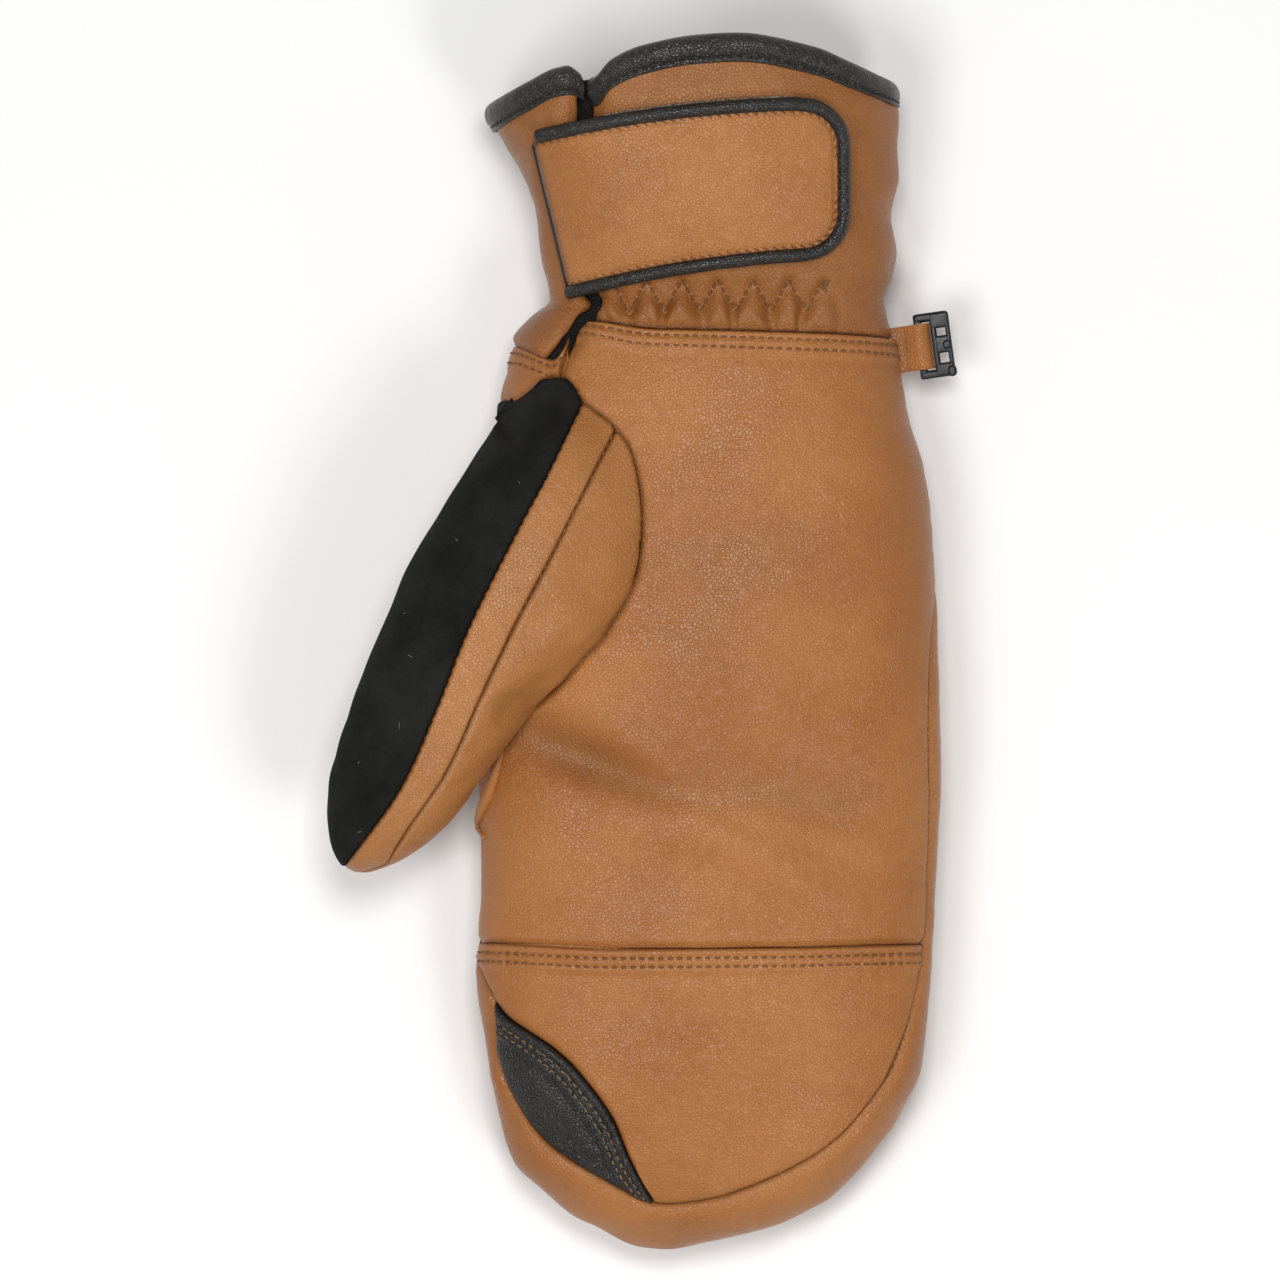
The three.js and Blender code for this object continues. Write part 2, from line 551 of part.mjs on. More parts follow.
// The hand's pattern pieces
function handPieces() {
  const rim = seamCurve(RIM_SEAM, 60);
  const topRight = new THREE.Vector2(acrossToX(0.7), rim[0].y);
  const corners = [
    new THREE.Vector2(acrossToX(-0.7), rim[60].y),
    place({ across: -0.7, along: 0.58 }),
    place({ across: -0.4, along: 0.64 }),
    ...ventLine(0).filter((point) => point.y < CUFF_STATION - 30),
    place({ across: 0.7, along: 0.84 }),
    topRight,
  ];
  const palmOutline = [...rim, ...corners].reverse();
  const { inside: front, outside: back } = split(handShell, palmOutline, SIDE_SEAM_HEIGHT);
  const fingerEdge = seamCurve(FINGER_SEAM, 12);
  const below = [acrossToX(0.56), acrossToX(-0.56)].map((x) => new THREE.Vector2(x, -MITTEN_LENGTH));
  const fingers = split(front, [...fingerEdge, ...below].reverse(), 0);
  const patchEdge = seamCurve(PATCH_SEAM, 24);
  const corner = new THREE.Vector2(acrossToX(-0.7), alongToY(-0.05));
  const outer = new THREE.Vector2(acrossToX(-0.7), alongToY(0.225));
  const patch = split(fingers.inside, [...patchEdge, corner, outer].reverse(), 0);
  return {
    back_panel: back,
    palm_panel: fingers.outside,
    finger_panel: patch.outside,
    index_patch: patch.inside,
  };
}

// The cuff is open along the vent, with the palm half on one side and the back half on the other.
const ventLine = (shift) =>
  range(19, 0.68, 1.08).map((along) => {
    const spot = place({ across: ventAt(along).across, along });
    return new THREE.Vector2(spot.x + shift, spot.y);
  });

function cuffPieces() {
  const right = [1.08, 0.68].map((along) => place({ across: 0.7, along }));
  const palmSide = (shift, low) =>
    prism([...ventLine(shift), ...right].reverse(), low, 2 * HAND_DEPTH);
  const half = SEAM_GAP / 2;
  return {
    cuff_palm_panel: cuffShell.intersect(palmSide(VENT_OPENING / 2, SIDE_SEAM_HEIGHT + half)),
    cuff_back_panel: cuffShell.subtract(palmSide(-VENT_OPENING / 2, SIDE_SEAM_HEIGHT - half)),
  };
}

// The black leather behind the vent
function ventGusset() {
  const rows = range(12, WRIST_STATION - 4, CUFF_STATION - 1);
  const across = range(6, -GUSSET_WIDTH / 2, GUSSET_WIDTH / 2);
  const bindingStart = CUFF_STATION - BINDING_WIDTH;
  const grid = (thickness) =>
    rows.map((station) => {
      const middle = acrossToX(ventAt(yToAlong(station)).across);
      const behindBinding = smooth(station, bindingStart - 6, bindingStart - 1);
      const binding = (BINDING_THICKNESS + 3 * SEAM_GAP) * behindBinding;
      const inset = WALL + SEAM_GAP + binding + thickness;
      return across.map((offset) => skin(station, angleOver(station, middle + offset, inset), inset));
    });
  const nearWalls = [cuffShell, handShell].map((wall) => wall.add(wall.translate([0, 0, -SEAM_GAP])));
  return nearWalls.reduce((solid, wall) => solid.subtract(wall), sheet(grid(0), grid(GUSSET_THICKNESS)));
}

// The angle at which the palm side passes over x.
function angleOver(station, x, inset) {
  const section = sectionAt(yToAlong(station));
  const middle = acrossToX((section.left + section.right) / 2);
  const half = acrossToX((section.right - section.left) / 2) - inset;
  const share = clamp((x - middle) / half, -1, 1);
  return Math.acos(Math.sign(share) * Math.abs(share) ** (TOP_FULLNESS / 2));
}

const handParts = handPieces();
const cuffParts = cuffPieces();

// Leather folded over the cuff's edge, from one side of the vent round to the other
function cuffBinding() {
  const band = (inset, from, over) => {
    const rows = [from, ...cuffRows.filter((station) => station > from + 1), CUFF_STATION];
    const rings = rows.map((station) => cuffRing(station, inset));
    for (const point of rings[rings.length - 1]) point.y += over;
    return loft(rings);
  };
  const start = CUFF_STATION - BINDING_WIDTH;
  const clear = 2 * SEAM_GAP;
  const within = WALL + clear;
  const leather = band(-clear - BINDING_THICKNESS, start, clear + BINDING_THICKNESS);
  const cuffRoom = band(-clear, start - WALL, clear).subtract(band(within, start - WALL, 2 * clear));
  const opening = band(within + BINDING_THICKNESS, start - WALL, 2 * WALL);
  const half = VENT_OPENING / 2;
  const slit = [...ventLine(-half), ...ventLine(half).reverse()].reverse();
  const gap = prism(slit, SIDE_SEAM_HEIGHT, 2 * HAND_DEPTH);
  const nearCuff = cuffShell.add(cuffShell.translate([0, SEAM_GAP, 0]));
  return leather.subtract(cuffRoom).subtract(opening).subtract(gap).subtract(nearCuff);
}

// The strap's centre line drops towards its sewn end, and its edges follow it.
const strapEnd = new THREE.Vector2(acrossToX(STRAP_ACROSS), CUFF_STATION - STRAP_BELOW_EDGE);
function strapPlace(run, offset) {
  const back = STRAP_LENGTH - run;
  const bend = STRAP_DROP / STRAP_LENGTH ** 2;
  const normal = new THREE.Vector2(-2 * bend * back, 1).normalize();
  const centre = new THREE.Vector2(strapEnd.x - back, strapEnd.y - bend * back ** 2);
  return centre.addScaledVector(normal, offset);
}

// Half the strap's width at a distance from its sewn end, less a margin all round.
function strapHalf(run, margin) {
  const radius = STRAP_CORNER - margin;
  const left = clamp(STRAP_LENGTH - margin - run, 0, radius);
  const corner = radius - Math.sqrt(radius ** 2 - (radius - left) ** 2);
  return lerp(STRAP_WIDTH, STRAP_END_WIDTH, run / STRAP_LENGTH) / 2 - margin - corner;
}

const strapPoint = (run, offset, lift) => {
  const spot = strapPlace(run, offset);
  return new THREE.Vector3(spot.x, spot.y, palmHeight(spot.x, spot.y, lift));
};

function wristStrap() {
  const margin = PIPING_DIAMETER + SEAM_GAP;
  const last = STRAP_LENGTH - margin;
  const corner = STRAP_CORNER - margin;
  const runs = [...range(12, 0, last - corner), ...range(6, last - 0.8 * corner, last)];
  const grid = (lift) =>
    runs.map((run) => range(9, -1, 1).map((side) => strapPoint(run, side * strapHalf(run, margin), lift)));
  const strap = sheet(grid(2 * SEAM_GAP + STRAP_THICKNESS), grid(2 * SEAM_GAP));
  return strap.subtract(loft(cuffRows.map((station) => cuffRing(station, -SEAM_GAP))));
}

function strapPiping() {
  const margin = PIPING_DIAMETER / 2;
  const lift = 2 * SEAM_GAP + PIPING_DIAMETER / 2;
  const last = STRAP_LENGTH - margin;
  const radius = STRAP_CORNER - margin;
  const straight = range(11, 0, last - radius);
  const turn = range(6, 0, Math.PI / 2).slice(1);
  const edge = (side) => [
    ...straight.map((run) => [run, side * strapHalf(run, margin)]),
    ...turn.map((t) => {
      const run = last - radius + radius * Math.sin(t);
      return [run, side * (STRAP_END_WIDTH / 2 - margin - radius + radius * Math.cos(t))];
    }),
  ];
  const path = [...edge(1), ...edge(-1).reverse()].map(([run, offset]) => strapPoint(run, offset, lift));
  return tube(path, PIPING_DIAMETER / 2, 8);
}

// A round tube through points, square to each one
function tube(path, radius, sides) {
  const rings = path.map((point, i) => {
    const run = path[Math.min(i + 1, path.length - 1)].clone().sub(path[Math.max(i - 1, 0)]).normalize();
    const level = new THREE.Vector3().crossVectors(run, new THREE.Vector3(0, 0, 1)).normalize();
    const upright = new THREE.Vector3().crossVectors(level, run);
    return range(sides + 1, 0, 2 * Math.PI)
      .slice(0, -1)
      .map((t) =>
        point
          .clone()
          .addScaledVector(level, radius * Math.cos(t))
          .addScaledVector(upright, radius * Math.sin(t)),
      );
  });
  return loft(rings);
}

// The thumb is open to the hand inside, and its three pieces part along blades at its seams.
function thumbPieces() {
  const wall = thumbOuter.subtract(thumbHollow).subtract(hollow);
  const reach = THUMB_WIDTH;
  const blade = (angleOf) => {
    const face = (side) =>
      range(30, -4, THUMB_LENGTH + 4).map((d) => {
        const section = thumbAt(d / THUMB_LENGTH);
        const angle = THREE.MathUtils.degToRad(angleOf(section));
        const out = thumbSide.clone().multiplyScalar(Math.cos(angle)).setZ(Math.sin(angle));
        const flat = thumbSide.clone().multiplyScalar(-Math.sin(angle)).setZ(Math.cos(angle));
        const edge = thumbStart.clone().addScaledVector(thumbRun, d).setZ(section.height * HAND_DEPTH);
        edge.addScaledVector(flat, (side * SEAM_GAP) / 2).addScaledVector(out, -SEAM_GAP);
        return [edge, edge.clone().addScaledVector(out, reach)];
      });
    return sheet(face(1), face(-1));
  };
  const seams = [(s) => s.patchEdge, (s) => s.sideSeam, () => THUMB_UNDER_SEAM];
  const pieces = seams.reduce((solid, seam) => solid.subtract(blade(seam)), wall).decompose();
  const large = pieces.sort((a, b) => b.volume() - a.volume()).slice(0, 3);
  const middleX = (solid) => {
    const { min, max } = solid.boundingBox();
    return (min[0] + max[0]) / 2;
  };
  const top = (solid) => solid.boundingBox().min[2];
  const strip = [...large].sort((a, b) => top(b) - top(a))[0];
  const rest = large.filter((solid) => solid !== strip).sort((a, b) => middleX(a) - middleX(b));
  return { thumb_patch: rest[0], thumb_side_strip: strip, thumb_palm_panel: rest[1] };
}

// A folded leather tab at the little finger side, round the bar of a plastic clip
const sideX = skin(CLIP_STATION, 0).x;
const clipEdge = sideX + LOOP_LENGTH;
function clipLoop() {
  const eye = 0.71 * CLIP_BAR + SEAM_GAP;
  const outer = eye + LOOP_LEATHER;
  const shape = new THREE.Shape();
  shape.moveTo(-LOOP_ROOT, -LOOP_LEATHER);
  shape.lineTo(-outer - 1, -LOOP_LEATHER);
  shape.lineTo(-outer * 0.6, -outer * 0.85);
  shape.absarc(0, 0, outer, -0.6 * Math.PI, 0.6 * Math.PI, false);
  shape.lineTo(-outer - 1, LOOP_LEATHER);
  shape.lineTo(-LOOP_ROOT, LOOP_LEATHER);
  shape.closePath();
  const hole = new THREE.Path();
  hole.absarc(0, 0, eye, 0, 2 * Math.PI, true);
  shape.holes.push(hole);
  const options = { depth: LOOP_WIDTH, bevelEnabled: false, curveSegments: 8 };
  const tab = new THREE.ExtrudeGeometry(shape, options).translate(0, 0, -LOOP_WIDTH / 2);
  const clear = loft(range(7, CLIP_STATION - 15, CLIP_STATION + 15).map((station) => skinRing(station, -SEAM_GAP)));
  return solidFrom(tab.rotateX(Math.PI / 2).applyMatrix4(clipPlace())).subtract(clear);
}

function clipPlace() {
  const lean = THREE.MathUtils.degToRad(CLIP_LEAN);
  return new THREE.Matrix4()
    .makeTranslation(clipEdge, CLIP_STATION, CLIP_HEIGHT)
    .multiply(new THREE.Matrix4().makeRotationZ(-lean));
}

function block([x0, y0, z0], [x1, y1, z1]) {
  const box = new THREE.BoxGeometry(x1 - x0, y1 - y0, z1 - z0);
  return solidFrom(box.translate((x0 + x1) / 2, (y0 + y1) / 2, (z0 + z1) / 2));
}

function pairClip() {
  const half = CLIP_LENGTH / 2;
  const bar = CLIP_BAR;
  const left = -bar / 2;
  const right = left + CLIP_WIDTH;
  const slotEnd = left + bar + LOOP_LEATHER + 3 * SEAM_GAP;
  const deep = CLIP_THICKNESS;
  const plate = block([left, -half, -bar / 2], [right, half, bar / 2]);
  const slot = block([left + bar, -half + bar, -deep], [slotEnd, half - bar, deep]);
  const windows = [-half + bar, bar / 2].map((low) =>
    block([slotEnd + bar / 2, low, -deep], [right - bar / 2, low + half - 1.5 * bar, deep]),
  );
  const ribs = [-half + bar / 2, 0, half - bar / 2].map((y) =>
    block([slotEnd + 0.1, y - 0.45 * bar, -deep / 2], [right + 0.4, y + 0.45 * bar, deep / 2]),
  );
  const open = [slot, ...windows].reduce((solid, hole) => solid.subtract(hole), plate);
  const body = ribs.reduce((solid, rib) => solid.add(rib), open);
  return body.transform(clipPlace().toArray());
}

const COLOURS = {
  tan: new THREE.MeshStandardMaterial({ color: 0xa87348, roughness: 0.55, metalness: 0 }),
  black: new THREE.MeshStandardMaterial({ color: 0x2b2c2c, roughness: 0.45, metalness: 0 }),
  suede: new THREE.MeshStandardMaterial({ color: 0x222322, roughness: 0.95, metalness: 0 }),
  plastic: new THREE.MeshStandardMaterial({ color: 0x303334, roughness: 0.4, metalness: 0 }),
};

function pieceMesh(name, solid, material) {
  const { vertProperties, triVerts } = solid.asOriginal().simplify(0.08).getMesh();
  const geometry = new THREE.BufferGeometry()
    .setAttribute("position", new THREE.BufferAttribute(vertProperties, 3))
    .setIndex(new THREE.BufferAttribute(triVerts, 1));
  geometry.computeVertexNormals();
  const mesh = new THREE.Mesh(geometry, material);
  mesh.name = name;
  return mesh;
}

const thumbParts = thumbPieces();
const pieces = [
  ["back_panel", handParts.back_panel, COLOURS.tan],
  ["palm_panel", handParts.palm_panel, COLOURS.tan],
  ["finger_panel", handParts.finger_panel, COLOURS.tan],
  ["index_patch", handParts.index_patch, COLOURS.black],
  ["cuff_palm_panel", cuffParts.cuff_palm_panel, COLOURS.tan],
  ["cuff_back_panel", cuffParts.cuff_back_panel, COLOURS.tan],
  ["vent_gusset", ventGusset(), COLOURS.black],
  ["cuff_binding", cuffBinding(), COLOURS.black],
  ["wrist_strap", wristStrap(), COLOURS.tan],
  ["strap_piping", strapPiping(), COLOURS.black],
  ["thumb_palm_panel", thumbParts.thumb_palm_panel, COLOURS.tan],
  ["thumb_side_strip", thumbParts.thumb_side_strip, COLOURS.tan],
  ["thumb_patch", thumbParts.thumb_patch, COLOURS.suede],
  ["clip_loop", clipLoop(), COLOURS.tan],
  ["pair_clip", pairClip(), COLOURS.plastic],
];

const mitten = new THREE.Group();
for (const [name, solid, material] of pieces) mitten.add(pieceMesh(name, solid, material));

export default mitten;
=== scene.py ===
# A padded leather mitten for the right hand, palm up on a pale table top.
import math

import bpy
import numpy as np
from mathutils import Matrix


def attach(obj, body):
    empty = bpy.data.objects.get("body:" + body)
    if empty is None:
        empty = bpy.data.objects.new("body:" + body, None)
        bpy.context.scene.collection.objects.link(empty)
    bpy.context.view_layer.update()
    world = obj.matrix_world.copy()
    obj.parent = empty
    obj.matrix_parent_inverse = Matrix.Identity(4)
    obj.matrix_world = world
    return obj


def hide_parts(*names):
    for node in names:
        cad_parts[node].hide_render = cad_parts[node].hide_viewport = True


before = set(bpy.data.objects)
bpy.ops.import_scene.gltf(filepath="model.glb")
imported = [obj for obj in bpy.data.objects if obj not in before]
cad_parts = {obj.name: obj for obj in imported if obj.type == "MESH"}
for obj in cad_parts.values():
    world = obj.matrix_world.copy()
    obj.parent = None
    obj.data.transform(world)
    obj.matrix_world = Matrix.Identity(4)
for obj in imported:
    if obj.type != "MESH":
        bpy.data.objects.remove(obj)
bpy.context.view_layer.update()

# The table top, the light and the camera
# A pale table top under three soft lights: the strongest high above the cuff, a wide one over the
# thumb side and a smaller one beyond the fingers, on the little finger side. The camera looks
# straight down from high up, so that the picture is 320 mm wide at the palm.
PICTURE_WIDTH = 0.32
CAMERA_HEIGHT = 4.5
PALM_HEIGHT = 0.035
CAMERA_ACROSS = -0.01725
scene = bpy.context.scene
scene.view_settings.view_transform = "Standard"


def placed(name, data, location=(0, 0, 0)):
    thing = bpy.data.objects.new(name, data)
    thing.location = location
    scene.collection.objects.link(thing)
    return thing


def soft_light(name, location, size, power):
    data = bpy.data.lights.new(name, "AREA")
    data.size = size
    data.energy = power
    light = placed(name, data, location)
    light.rotation_euler = (-light.location).to_track_quat("-Z", "Y").to_euler()
    light.visible_camera = False


camera_data = bpy.data.cameras.new("camera")
camera_data.lens = camera_data.sensor_width * (CAMERA_HEIGHT - PALM_HEIGHT) / PICTURE_WIDTH
scene.camera = placed("camera", camera_data, (CAMERA_ACROSS, 0, CAMERA_HEIGHT))
soft_light("top_light", (0.03, 0.34, 1.8), 0.45, 15)
soft_light("fill_light", (-0.5, -0.3, 1.5), 0.6, 10)
soft_light("side_light", (0.65, -0.75, 1.35), 0.45, 7.5)
world = bpy.data.worlds.new("room")
world.use_nodes = True
world.node_tree.nodes["Background"].inputs["Color"].default_value = (1, 0.985, 0.96, 1)
world.node_tree.nodes["Background"].inputs["Strength"].default_value = 0.19
scene.world = world
table_material = bpy.data.materials.new("pale_table")
table_material.use_nodes = True
table_shader = table_material.node_tree.nodes["Principled BSDF"]
table_shader.inputs["Base Color"].default_value = (0.86, 0.86, 0.86, 1)
table_shader.inputs["Roughness"].default_value = 0.8
table_mesh = bpy.data.meshes.new("table_top")
corners = [(-4, -4, -0.0003), (4, -4, -0.0003), (4, 4, -0.0003), (-4, 4, -0.0003)]
table_mesh.from_pydata(corners, [], [(0, 1, 2, 3)])
table_mesh.materials.append(table_material)
placed("table_top", table_mesh)

# Palm panel: one piece of smooth tan goat leather over padding, from the wrist to the fingers.
# It is cut in a curve round the thumb, and its top edge is folded and topstitched over the cuff.
# All lengths from here on are in millimetres, and a piece is turned into metres when it is made.
MM = 0.001
LENGTH = 305
WIDTH = 116
DEPTH = 48
TOP_FULLNESS = 2.5
UNDER_FULLNESS = 2.8
LEATHER = 2.4
WRIST = 77
FINGER_LINE = -76.3
SLANT = 6
SIDE_SEAM_HEIGHT = 14
STITCH_PITCH = 2.4
SECTION_COLUMNS = ("along", "left", "right", "top", "side", "base")
SECTIONS = [
    (-0.0025, -0.105, -0.1, 0.315, 0.31, 0.305),
    (0.0, -0.15, -0.06, 0.38, 0.31, 0.25),
    (0.008, -0.2, 0.04, 0.47, 0.32, 0.2),
    (0.016, -0.237, 0.127, 0.53, 0.33, 0.16),
    (0.025, -0.287, 0.185, 0.58, 0.34, 0.12),
    (0.041, -0.34, 0.263, 0.64, 0.35, 0.07),
    (0.07, -0.42, 0.336, 0.72, 0.36, 0.02),
    (0.11, -0.453, 0.414, 0.79, 0.37, -0.02),
    (0.15, -0.474, 0.461, 0.84, 0.38, -0.04),
    (0.23, -0.5, 0.481, 0.9, 0.4, -0.05),
    (0.31, -0.492, 0.49, 0.94, 0.41, -0.05),
    (0.39, -0.5, 0.502, 0.98, 0.42, -0.05),
    (0.52, -0.49, 0.49, 1.01, 0.42, -0.05),
    (0.6, -0.475, 0.481, 0.99, 0.42, -0.05),
    (0.64, -0.465, 0.466, 0.97, 0.42, -0.04),
    (0.69, -0.455, 0.428, 0.94, 0.42, -0.03),
    (0.745, -0.425, 0.402, 0.9, 0.42, -0.01),
    (0.765, -0.385, 0.385, 0.88, 0.42, 0.0),
    (0.78, -0.345, 0.379, 0.88, 0.43, 0.01),
    (0.8, -0.355, 0.396, 0.92, 0.44, 0.0),
    (0.82, -0.364, 0.405, 0.97, 0.45, -0.01),
    (0.85, -0.376, 0.394, 1.02, 0.46, -0.02),
    (0.88, -0.4, 0.41, 1.06, 0.47, 0.0),
    (0.93, -0.467, 0.408, 1.11, 0.48, 0.05),
    (0.96, -0.474, 0.387, 1.13, 0.48, 0.055),
    (1.0, -0.474, 0.38, 1.14, 0.48, 0.055),
]
WRIST_LINE = [
    (-0.5, -0.5), (-0.42, -0.55), (-0.375, -0.85), (-0.335, -1.15), (-0.27, 0.45), (-0.12, 0.13),
    (0.07, 0.05), (0.33, -0.12), (0.42, -0.3),
]
FINGER_SEAM = [
    (-0.56, 0.25), (-0.49, 0.251), (-0.2, 0.247), (0.15, 0.248), (0.46, 0.25), (0.56, 0.25),
]
# Where the palm and the back meet, from the wrist at the little finger side round the fingertips
# and up to the wrist at the thumb side. None is low on the side, where the seam doesn't show.
RIM_SEAM = [
    (None, 0.7525), (None, 0.66), (None, 0.585), (0.489, 0.54), (0.484, 0.51), (0.479, 0.4),
    (0.478, 0.33), (0.465, 0.243), (0.444, 0.203), (0.42, 0.17), (0.386, 0.14), (0.336, 0.114),
    (0.282, 0.091), (0.198, 0.069), (0.099, 0.051), (0.0, 0.039), (-0.084, 0.035), (-0.149, 0.039),
    (-0.259, 0.062), (-0.366, 0.091), (-0.412, 0.114), (-0.446, 0.14), (-0.459, 0.159),
    (-0.463, 0.187), (-0.468, 0.203), (-0.485, 0.217), (None, 0.25), (None, 0.4), (None, 0.56),
    (-0.4, 0.64), (-0.352, 0.68), (-0.335, 0.72), (-0.29, 0.75), (-0.285, 0.7525),
]
# The vent runs from the cuff's edge down to the thumb, in a valley: along, across and its depth
VENT_COLUMNS = ("along", "across", "depth")
VENT = [
    (0.68, -0.352, 0.0),
    (0.72, -0.335, 3.0),
    (0.75, -0.29, 4.5),
    (0.785, -0.256, 5.1),
    (0.85, -0.262, 6.0),
    (0.92, -0.265, 5.4),
    (0.97, -0.265, 3.6),
]
VENT_WIDTH = 3.4
VENT_HALF_OPENING = 1.4
# Soft dents and, where the depth is below 0, ridges: across, along, turn in degrees, length, width
# and depth
DENTS = [
    (-31, -30, -23, 26, 6.5, 5.6),
    (21, -38, -13, 24, 8, 2.6),
    (8, -52, -27, 32, 6.5, -2.2),
    (-3, -9, -20, 23, 8, -1.1),
    (34, -50, -14, 14, 4, -0.7),
    (-14, -31, -28, 14, 4, -0.7),
    (2, 20, 8, 30, 12, 0.7),
    (30, 8, 60, 22, 9, 0.6),
    (-6, -58, 8, 24, 8, 0.5),
    (10, -128, 82, 9, 1.6, 0.35),
    (-9.5, -127, 86, 12, 1.3, 0.35),
    (37, -100, 40, 8, 2, 0.4),
    (-34, -88, 20, 14, 5, 0.5),
    (20, -100, 70, 18, 8, -0.5),
    (-44, -66, 60, 14, 6, 0.6),
    (-42.1, 105, -80.5, 24, 1.3, -2.0),
    (-45.6, 104, -80.5, 20, 1.6, 1.5),
    (-45, 128, -41, 4.5, 1.1, 1.2),
    (-38, 131, -30, 5, 3, -0.8),
]
# Where the thumb is set into the palm, from the thumb side of the wrist down to the thumb's crotch
THUMB_SEAT = [
    (-75, 58), (-52, 60), (-49, 59.2), (-47.2, 60.7), (-44.5, 62.7), (-41, 65.5), (-38.5, 66),
    (-36.5, 65.7), (-34.5, 64.2), (-32.7, 62), (-31.7, 60), (-28.2, 57.2), (-25.2, 55), (-22.8, 52.4),
    (-20.2, 49), (-18, 42.7), (-16.8, 36), (-16.5, 29), (-17, 21.7), (-18.3, 15.3), (-20.8, 9.5),
    (-23.8, 4.5), (-27, -0.5), (-31, -4.4), (-34.6, -8.8), (-38.2, -12.8), (-42.2, -16), (-48, -19.8),
    (-56, -26), (-64, -33.5),
]


def column(rows, name, names=("place", "value")):
    """Reads one column of a table smoothly, with no overshoot between its rows."""
    x = np.array([row[0] for row in rows], float)
    y = np.array([row[names.index(name)] for row in rows], float)
    slope = np.diff(y) / np.diff(x)
    before = np.concatenate([slope[:1], slope])
    after = np.concatenate([slope, slope[-1:]])
    total = np.where(before + after == 0, 1, before + after)
    tangent = np.where(before * after <= 0, 0, 2 * before * after / total)

    def read(value):
        at = np.clip(value, x[0], x[-1])
        i = np.clip(np.searchsorted(x, at, side="right") - 1, 0, len(x) - 2)
        step = x[i + 1] - x[i]
        t = (at - x[i]) / step
        rise = y[i + 1] - y[i]
        ends = (1 - t) * (tangent[i] - rise / step) - t * (tangent[i + 1] - rise / step)
        return y[i] + rise * t + t * (1 - t) * step * ends

    return read


def smoothstep(value, low, high):
    t = np.clip((value - low) / (high - low), 0, 1)
    return t * t * (3 - 2 * t)


def bell(distance, width):
    return np.exp(-((distance / width) ** 2))


def travelled(line):
    """Lengths along a polyline, from its start to each of its points."""
    return np.concatenate([[0], np.cumsum(np.linalg.norm(np.diff(line, axis=0), axis=1))])


def curve_through(points, step):
    """A smooth curve through points, as evenly spaced points about a step apart."""
    points = np.array(points, float)
    at = travelled(points)
    tangent = np.gradient(points, at, axis=0)
    fine = np.linspace(0, at[-1], int(at[-1] / step) * 4 + 2)
    i = np.clip(np.searchsorted(at, fine, side="right") - 1, 0, len(at) - 2)
    gap = (at[i + 1] - at[i])[:, None]
    t = ((fine - at[i]) / gap[:, 0])[:, None]
    first = (2 * t**3 - 3 * t**2 + 1) * points[i] + (t**3 - 2 * t**2 + t) * gap * tangent[i]
    second = (3 * t**2 - 2 * t**3) * points[i + 1] + (t**3 - t**2) * gap * tangent[i + 1]
    return evenly(first + second, int(at[-1] / step) + 2)


def evenly(line, count):
    """A polyline's points spaced evenly, or at the given shares of its length."""
    shares = np.linspace(0, 1, count) if np.isscalar(count) else count
    at = travelled(line)
    return np.stack([np.interp(shares * at[-1], at, line[:, k]) for k in range(line.shape[1])], 1)


vent_across = column(VENT, "across", VENT_COLUMNS)
vent_depth = column(VENT, "depth", VENT_COLUMNS)
section_readers = {name: column(SECTIONS, name, SECTION_COLUMNS) for name in SECTION_COLUMNS[1:]}
wrist_rise = column(WRIST_LINE, "value")
finger_along = column(FINGER_SEAM, "value")


def section(y):
    """Middle, half width, top, side and base of the hand or cuff at y."""
    read = {name: reader(y / LENGTH + 0.5) for name, reader in section_readers.items()}
    middle = (read["left"] + read["right"]) / 2 * WIDTH
    half = (read["right"] - read["left"]) / 2 * WIDTH
    return middle, half, read["top"] * DEPTH, read["side"] * DEPTH, read["base"] * DEPTH


def dents(x, y):
    total = np.zeros(np.broadcast(x, y).shape)
    for across, along, turn, length, width, depth in DENTS:
        angle = math.radians(turn)
        lengthwise = (x - across) * math.cos(angle) + (y - along) * math.sin(angle)
        crosswise = (y - along) * math.cos(angle) - (x - across) * math.sin(angle)
        total += depth * bell(lengthwise, length) * bell(crosswise, width)
    return total


def vent_x(y):
    return vent_across(y / LENGTH + 0.5) * WIDTH


def valley(x, y):
    return vent_depth(y / LENGTH + 0.5) * bell(x - vent_x(y), VENT_WIDTH)


def hand_skin(angle, y):
    """Points of the hand or cuff. Angle 0 is the little finger side, pi the thumb side, over the palm."""
    middle, half, top, side, base = section(y)
    under = np.sin(angle) < 0
    power = 2 / np.where(under, UNDER_FULLNESS, TOP_FULLNESS)
    x = middle + half * np.sign(np.cos(angle)) * np.abs(np.cos(angle)) ** power
    upward = np.abs(np.sin(angle)) ** power
    over = side + (top - side - dents(x, y) - valley(x, y)) * upward
    below = np.maximum(side - (side - base) * upward, 0)
    return np.stack(np.broadcast_arrays(x, y, np.where(under, below, over)), -1)


def palm_height(x, y):
    middle, half, top, side, _ = section(y)
    share = np.clip(np.abs(x - middle) / half, 0, 1)
    return side + (top - side - dents(x, y)) * (1 - share**TOP_FULLNESS) ** (1 / TOP_FULLNESS)


